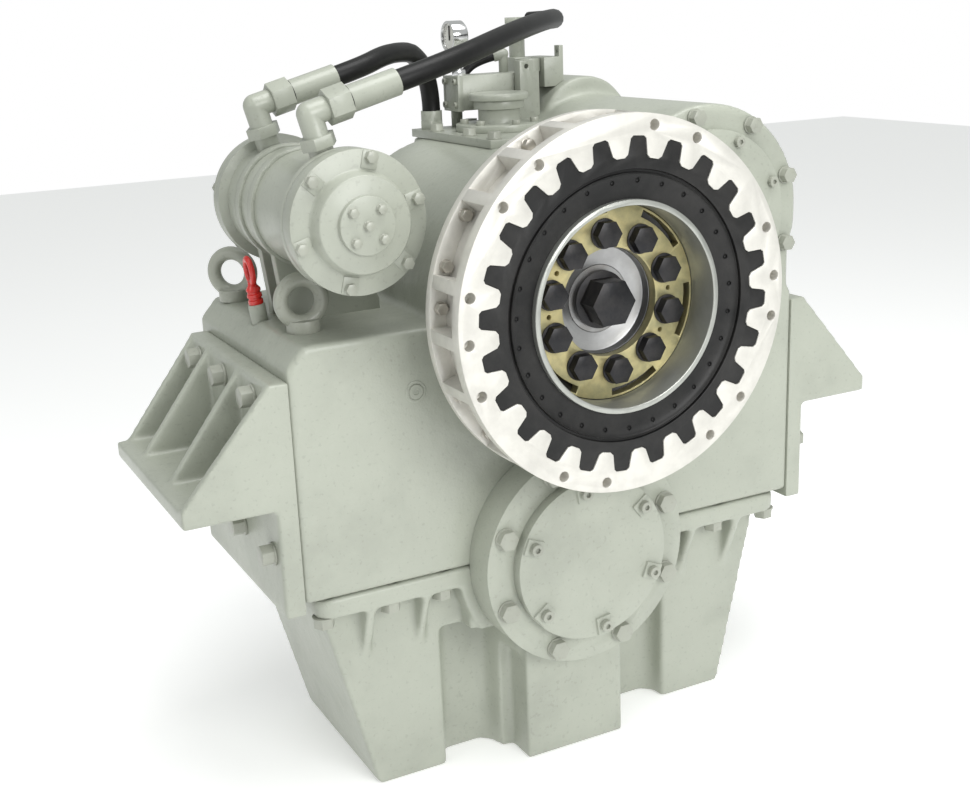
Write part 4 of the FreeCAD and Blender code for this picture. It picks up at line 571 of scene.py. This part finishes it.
# %% Cooler cap
COOLER = (-0.2838, 0.0, 0.7739)
CAP_BOLT_CIRCLE = 0.0735
FIRST_PAD = 136.6
PAD_FACE = -0.2624
PAD_SIZE = (0.021, 0.0018, 0.020)
cap = stepped("cooler_cap_turning", [
    (0.062, 0.2300), (0.062, 0.2370), (0.0852, 0.2370), (0.0852, 0.2620), (0.0625, 0.2620),
    (0.0600, 0.2650), (0.0575, 0.2790), (0.0560, 0.2810), (0.0345, 0.2810), (0.0345, 0.2870),
    (0.0338, 0.2880)], COOLER, FACING_ENGINE, 96)
cap_parts = [cap]
for step in range(6):
    angle = math.radians(FIRST_PAD - 60 * step)
    spot = Vector((COOLER[0] + CAP_BOLT_CIRCLE * math.cos(angle), PAD_FACE,
                   COOLER[2] + CAP_BOLT_CIRCLE * math.sin(angle)))
    bpy.ops.object.select_all(action="DESELECT")
    bpy.ops.mesh.primitive_cube_add(size=1.0, location=(0.0, 0.0, 0.0))
    pad = bpy.context.object
    pad.data.transform(Matrix.Translation(spot) @ Matrix.Rotation(-angle, 4, "Y")
                       @ Matrix.Diagonal((*PAD_SIZE, 1.0)))
    cap_parts.append(pad)
cap = edged(merged(cap_parts, "cooler_cap_turned"), 0.0006)
settle(cap, "cooler_front_cap", "housing", fitted_paint)
print("cooler cap faces:", len(cap.data.polygons))

# %% [markdown]
# ## Dipstick
# The stick ends in a red plastic grip: a loop for one finger on a ribbed plug. The loop is a torus
# pulled upwards, and the plug is a stepped turning. Both lean with the tube.

# %% Dipstick
DIP_LEAN = math.radians(-7)
LOOP_STRETCH = (1.0, 0.92, 1.25)
LOOP_HEIGHT = 0.0635
dip_turn = Matrix.Rotation(DIP_LEAN, 4, "Y")
dip_foot = (-0.349, -0.056, 0.632)
stick = stepped("dip_stick", [(0.005, -0.480), (0.005, 0.020)], dip_foot, dip_turn, 20)
plug = stepped("dip_plug", [
    (0.0092, 0.0200), (0.0098, 0.0215), (0.0098, 0.0255), (0.0084, 0.0265), (0.0084, 0.0285),
    (0.0098, 0.0295), (0.0098, 0.0335), (0.0084, 0.0345), (0.0084, 0.0365), (0.0094, 0.0375),
    (0.0094, 0.0405), (0.0060, 0.0450), (0.0055, 0.0500)], dip_foot, dip_turn, 32)
bpy.ops.object.select_all(action="DESELECT")
bpy.ops.mesh.primitive_torus_add(major_radius=0.0125, minor_radius=0.0040, major_segments=40,
                                 minor_segments=14, location=(0.0, 0.0, 0.0),
                                 rotation=(0.0, math.pi / 2, 0.0))
loop = bpy.context.object
bpy.ops.object.transform_apply(location=False, rotation=True, scale=True)
bpy.ops.object.mode_set(mode="EDIT")
bpy.ops.mesh.select_all(action="SELECT")
bpy.ops.transform.resize(value=LOOP_STRETCH, center_override=(0.0, 0.0, 0.0))
bpy.ops.transform.translate(value=(0.0, 0.0, LOOP_HEIGHT))
bpy.ops.object.mode_set(mode="OBJECT")
loop.data.transform(Matrix.Translation(dip_foot) @ dip_turn)
grip = merged([plug, loop, stick], "dipstick_grip")
smooth(grip, 40)
settle(grip, "dipstick", "dip", red_plastic)
print("dipstick faces:", len(grip.data.polygons))

# %% [markdown]
# ## Gauge dial and fitting seals
# Behind the gauge's rim lies a pale dial with marks along three quarters of a circle, drawn by the
# shader from the angle round the gauge. Each hose nut at the cooler has a dark seal ring behind it.

# %% Gauge dial and fitting seals
GAUGE = (0.0, 0.088, 0.968)
DIAL_CREAM = (0.80, 0.79, 0.74)
DIAL_INK = (0.03, 0.03, 0.03)
TICK_STEP = math.pi / 24
TICK_HALF_WIDTH = 0.022
TICKS_FROM, TICKS_TO = 0.0135, 0.0165
HALF_SWEEP = 2.2
dial_paint, tree, shader = start_finish("dial_face", DIAL_CREAM, 0.45, coat=0.5)
_, side_way, high_way = split(tree, object_place(tree, GAUGE))
dial_radius = diagonal(tree, side_way, high_way)
dial_angle = maths(tree, "ARCTAN2", side_way, high_way)
ticks = maths(tree, "PINGPONG", maths(tree, "ADD", dial_angle, 10 * math.pi), TICK_STEP)
thin_tick = maths(tree, "LESS_THAN", ticks, TICK_HALF_WIDTH)
in_band = maths(tree, "MULTIPLY", maths(tree, "GREATER_THAN", dial_radius, TICKS_FROM),
                maths(tree, "LESS_THAN", dial_radius, TICKS_TO))
in_sweep = maths(tree, "LESS_THAN", maths(tree, "ABSOLUTE", dial_angle), HALF_SWEEP)
ink = maths(tree, "MULTIPLY", maths(tree, "MULTIPLY", thin_tick, in_band), in_sweep)
join(tree, mixed(tree, ink, DIAL_CREAM, DIAL_INK), shader.inputs["Base Color"])
bumped(tree, shader, [(noise(tree, object_place(tree), 800.0), 0.03, 0.0002)])
dial = stepped("gauge_dial", [(0.0185, -0.01395), (0.0185, -0.01370)], GAUGE,
               Matrix.Rotation(-math.pi / 2, 4, "Y"), 48)
dial.data.materials.append(dial_paint)
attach(dial, "housing")
ELBOW_LEAN = math.radians(15)
ELBOW_REACH = 0.128
leg_turn = Matrix.Rotation(math.radians(75), 4, "Y")
seals = []
for station in (-0.210, -0.012):
    corner = (COOLER[0] - ELBOW_REACH * math.sin(ELBOW_LEAN), station,
              COOLER[2] + ELBOW_REACH * math.cos(ELBOW_LEAN))
    seals.append(stepped("fitting_seal", [(0.0166, 0.0496), (0.0173, 0.0500), (0.0173, 0.0516),
                                          (0.0166, 0.0520)], corner, leg_turn, 40))
seal = merged(seals, "fitting_seals")
smooth(seal, 40)
seal.data.materials.append(hose_rubber)
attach(seal, "housing")
print("dial and seals made")

# %% [markdown]
# ## Wall plug
# A threaded plug closes an oil gallery in the front wall. It is a low disc in a spot face, so it
# is a stepped turning like the cap, and one of its steps is the ring groove around its middle.

# %% Wall plug
plug = stepped("gallery_plug", [
    (0.0140, 0.2360), (0.0140, 0.2374), (0.0132, 0.2382), (0.0108, 0.2382), (0.0104, 0.2374),
    (0.0096, 0.2374), (0.0092, 0.2388), (0.0040, 0.2388), (0.0036, 0.2376)],
    (-0.214, 0.0, 0.5536), FACING_ENGINE, 40)
smooth(plug, 30)
plug.data.materials.append(fitted_paint)
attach(plug, "housing")
print("wall plug faces:", len(plug.data.polygons))

# %% [markdown]
# ## Coupling
# The coupling turns with the engine. Two of its parts have hollows that their solids lack: the
# rubber and the drive plate. A hollow is a shape taken away, so a boolean modifier cuts it, and it
# is real in every view and light. The next cell makes the helpers for that.

# %% Shapes that cut
def cut_with(piece, cutter):
    """Cut one shape out of another and remove the cutter."""
    knife = piece.modifiers.new("cut", "BOOLEAN")
    knife.operation = "DIFFERENCE"
    knife.solver = "EXACT"
    knife.object = cutter
    apply_all(piece)
    bpy.data.objects.remove(cutter)


def round_spots(radius, degrees, height):
    """Places on a circle round the coupling's axis, at a height towards the engine."""
    spots = []
    for turn in degrees:
        angle = math.radians(turn)
        spots.append(Vector((radius * math.cos(angle), -height,
                             COUPLING[2] + radius * math.sin(angle))))
    return spots


# %% [markdown]
# ### The rubber's dish and its mould marks
# Inside the moulded groove the rubber's face sinks towards the cup, and 27 small round marks stand
# in a circle on it. The dish is one turned shape and the marks are small spheres, and both are cut
# out of the copy, so the hollows are real.

# %% Rubber element
FIRST_MARK = 4.0
MARK_STEP = 13.333
MARK_RADIUS = 0.0029
MARK_HEIGHT = 0.3889
rubber_piece = machined("rubber_element", coupling_rubber, "input", 0.0008)
dish = stepped("dish_cutter", [
    (0.1602, 0.4000), (0.1602, 0.3940), (0.1596, 0.3926), (0.1582, 0.3912), (0.1560, 0.3900),
    (0.1525, 0.3888), (0.1470, 0.3877), (0.1400, 0.3870), (0.1270, 0.3866)],
    COUPLING, FACING_ENGINE, 120)
cut_with(rubber_piece, dish)
marks = []
mark_angles = [FIRST_MARK + MARK_STEP * step for step in range(MARK_COUNT)]
for spot in round_spots(MARK_CIRCLE, mark_angles, MARK_HEIGHT):
    bpy.ops.object.select_all(action="DESELECT")
    bpy.ops.mesh.primitive_uv_sphere_add(segments=16, ring_count=10, radius=MARK_RADIUS,
                                         location=spot)
    marks.append(bpy.context.object)
cut_with(rubber_piece, merged(marks, "mark_cutter"))
smooth(rubber_piece, 25)
print("rubber faces:", len(rubber_piece.data.polygons))

# %% [markdown]
# ### The drive plate's tapped holes
# Four tapped holes lie between the plate bolts, where a puller would be screwed in. Each is cut
# with a stepped shape, which leaves the small countersink that a tapped hole has.

# %% Drive plate
DRILL_CIRCLE = 0.086
DRILL_ANGLES = (148.8, 184.8, -31.2, 4.8)
plate_piece = machined("drive_plate", zinc_gold, "input", 0.0006)
drills = []
for spot in round_spots(DRILL_CIRCLE, DRILL_ANGLES, 0.0):
    drills.append(stepped("drill", [(0.0036, 0.3510), (0.0034, 0.3500), (0.0026, 0.3492),
                                    (0.0026, 0.3400)], spot, FACING_ENGINE, 24))
cut_with(plate_piece, merged(drills, "drill_cutter"))
smooth(plate_piece, 30)
print("drive plate faces:", len(plate_piece.data.polygons))

# %% [markdown]
# ### The turned and cast rings
# The ring, the retainer, the cup and the hub are cast or turned, so their copies get the same
# chamfers, and finishes with fine lathe rings centred on the input shaft. The output flange at the
# rear is turned as well, and its rings are centred on the output shaft.

# %% Coupling
machined("coupling_ring", ring_metal, "input", 0.0012)
machined("coupling_retainer", ring_metal, "input", 0.001)
machined("coupling_cup", lip_metal, "input", 0.001)
machined("input_hub", hub_metal, "input", 0.001)
machined("coupling_bolts", black_oxide, "input", 0.001)
machined("output_flange", flange_metal, "output", 0.0015)
print("coupling dressed")

# %% [markdown]
# ## Bolts, eyes and small parts
# Small parts get a fine bevel, and the paint or plating of the real ones. The elbow of the front
# hose ends in a flat top, so the fittings' copy is bisected there and the cut is closed.

# %% Bolts, eyes and small parts
FITTINGS_TOP = 0.990
for node in ("bracket_bolts", "sump_fasteners", "output_cover_bolts", "front_cover_bolts",
             "rear_cover_bolts", "top_screws", "cooler_bolts"):
    machined(node, bolt_paint, width=0.0007)
machined("eye_bolts", bolt_paint, width=0.0005)
machined("dipstick_tube", fitted_paint, width=0.0005)
fittings = machined("hose_fittings", fitted_paint, width=0.0007)
bpy.ops.object.select_all(action="DESELECT")
bpy.context.view_layer.objects.active = fittings
fittings.select_set(True)
bpy.ops.object.mode_set(mode="EDIT")
bpy.ops.mesh.select_all(action="SELECT")
bpy.ops.mesh.bisect(plane_co=(0.0, 0.0, FITTINGS_TOP), plane_no=(0.0, 0.0, 1.0),
                    use_fill=True, clear_outer=True)
bpy.ops.object.mode_set(mode="OBJECT")
machined("pressure_gauge", chrome, width=0.0005)
nodes["gauge_needle"].data.materials.clear()
nodes["gauge_needle"].data.materials.append(needle_paint)
print("small parts dressed")

# %% [markdown]
# ## Inner parts
# The gears, shafts, clutches and bearings lie inside the closed housing. Nobody sees an edge of
# theirs in a picture, so they keep their solids as they are and only get a steel finish.

# %% Inner parts keep their solids
for node in ("ahead_pinion", "astern_pinion", "idler_gear", "ahead_wheel", "astern_wheel",
             "ahead_clutch_drum", "astern_clutch_drum", "clutch_plates", "input_shaft",
             "output_shaft", "side_shaft", "idler_pin", "fixed_bearing_rings"):
    nodes[node].data.materials.clear()
    nodes[node].data.materials.append(gear_metal)
print("inner parts finished")

# %% [markdown]
# ## Studio
# The machine stands on a pale floor in the light of three soft boxes: a large one overhead, one in
# front and a weaker one at the left, with a pale world to fill the shadows. The floor glows a
# little, so it is as pale as the backdrop, which the camera sees as plain white.

# %% Floor and lights
FLOOR_GLOW = 0.30
WORLD_FILL = 0.55
bpy.ops.object.select_all(action="DESELECT")
bpy.ops.mesh.primitive_plane_add(size=14.0, location=(0.0, 0.0, -0.0005))
floor = bpy.context.object
floor.name = "studio_floor"
floor_paint, tree, shader = start_finish("floor_paint", (0.90, 0.90, 0.90), 0.6)
bumped(tree, shader, [(noise(tree, object_place(tree), 30.0), 0.02, 0.001)])
shader.inputs["Emission Color"].default_value = (1.0, 1.0, 1.0, 1.0)
shader.inputs["Emission Strength"].default_value = FLOOR_GLOW
floor.data.materials.append(floor_paint)


def soft_box(name, place, target, size, power):
    """A rectangular area light at a place, turned to face its target."""
    bpy.ops.object.light_add(type="AREA", location=place)
    lamp = bpy.context.object
    lamp.name = name
    lamp.data.shape = "RECTANGLE"
    lamp.data.size, lamp.data.size_y = size
    lamp.data.energy = power
    way = Vector(target) - Vector(place)
    lamp.rotation_euler = way.to_track_quat("-Z", "Y").to_euler()


soft_box("overhead_box", (0.2, -0.8, 3.2), (0.0, 0.0, 0.5), (2.4, 1.6), 62)
soft_box("front_box", (0.3, -3.4, 1.7), (0.0, 0.0, 0.5), (1.8, 1.4), 62)
soft_box("left_box", (-2.8, -0.9, 1.6), (0.0, 0.0, 0.6), (1.2, 1.2), 10)
world = bpy.data.worlds.new("pale_world")
world.use_nodes = True
tree = world.node_tree
fill = tree.nodes["Background"]
fill.inputs["Color"].default_value = (0.93, 0.96, 0.94, 1.0)
fill.inputs["Strength"].default_value = WORLD_FILL
seen = add(tree, "ShaderNodeBackground", {"Color": (1.0, 1.0, 1.0, 1.0), "Strength": 1.0})
path = add(tree, "ShaderNodeLightPath")
choice = add(tree, "ShaderNodeMixShader")
join(tree, path.outputs["Is Camera Ray"], choice.inputs["Fac"])
join(tree, fill.outputs["Background"], choice.inputs[1])
join(tree, seen.outputs["Background"], choice.inputs[2])
join(tree, choice.outputs["Shader"], tree.nodes["World Output"].inputs["Surface"])
bpy.context.scene.world = world
bpy.context.scene.view_settings.view_transform = "Standard"

# %% [markdown]
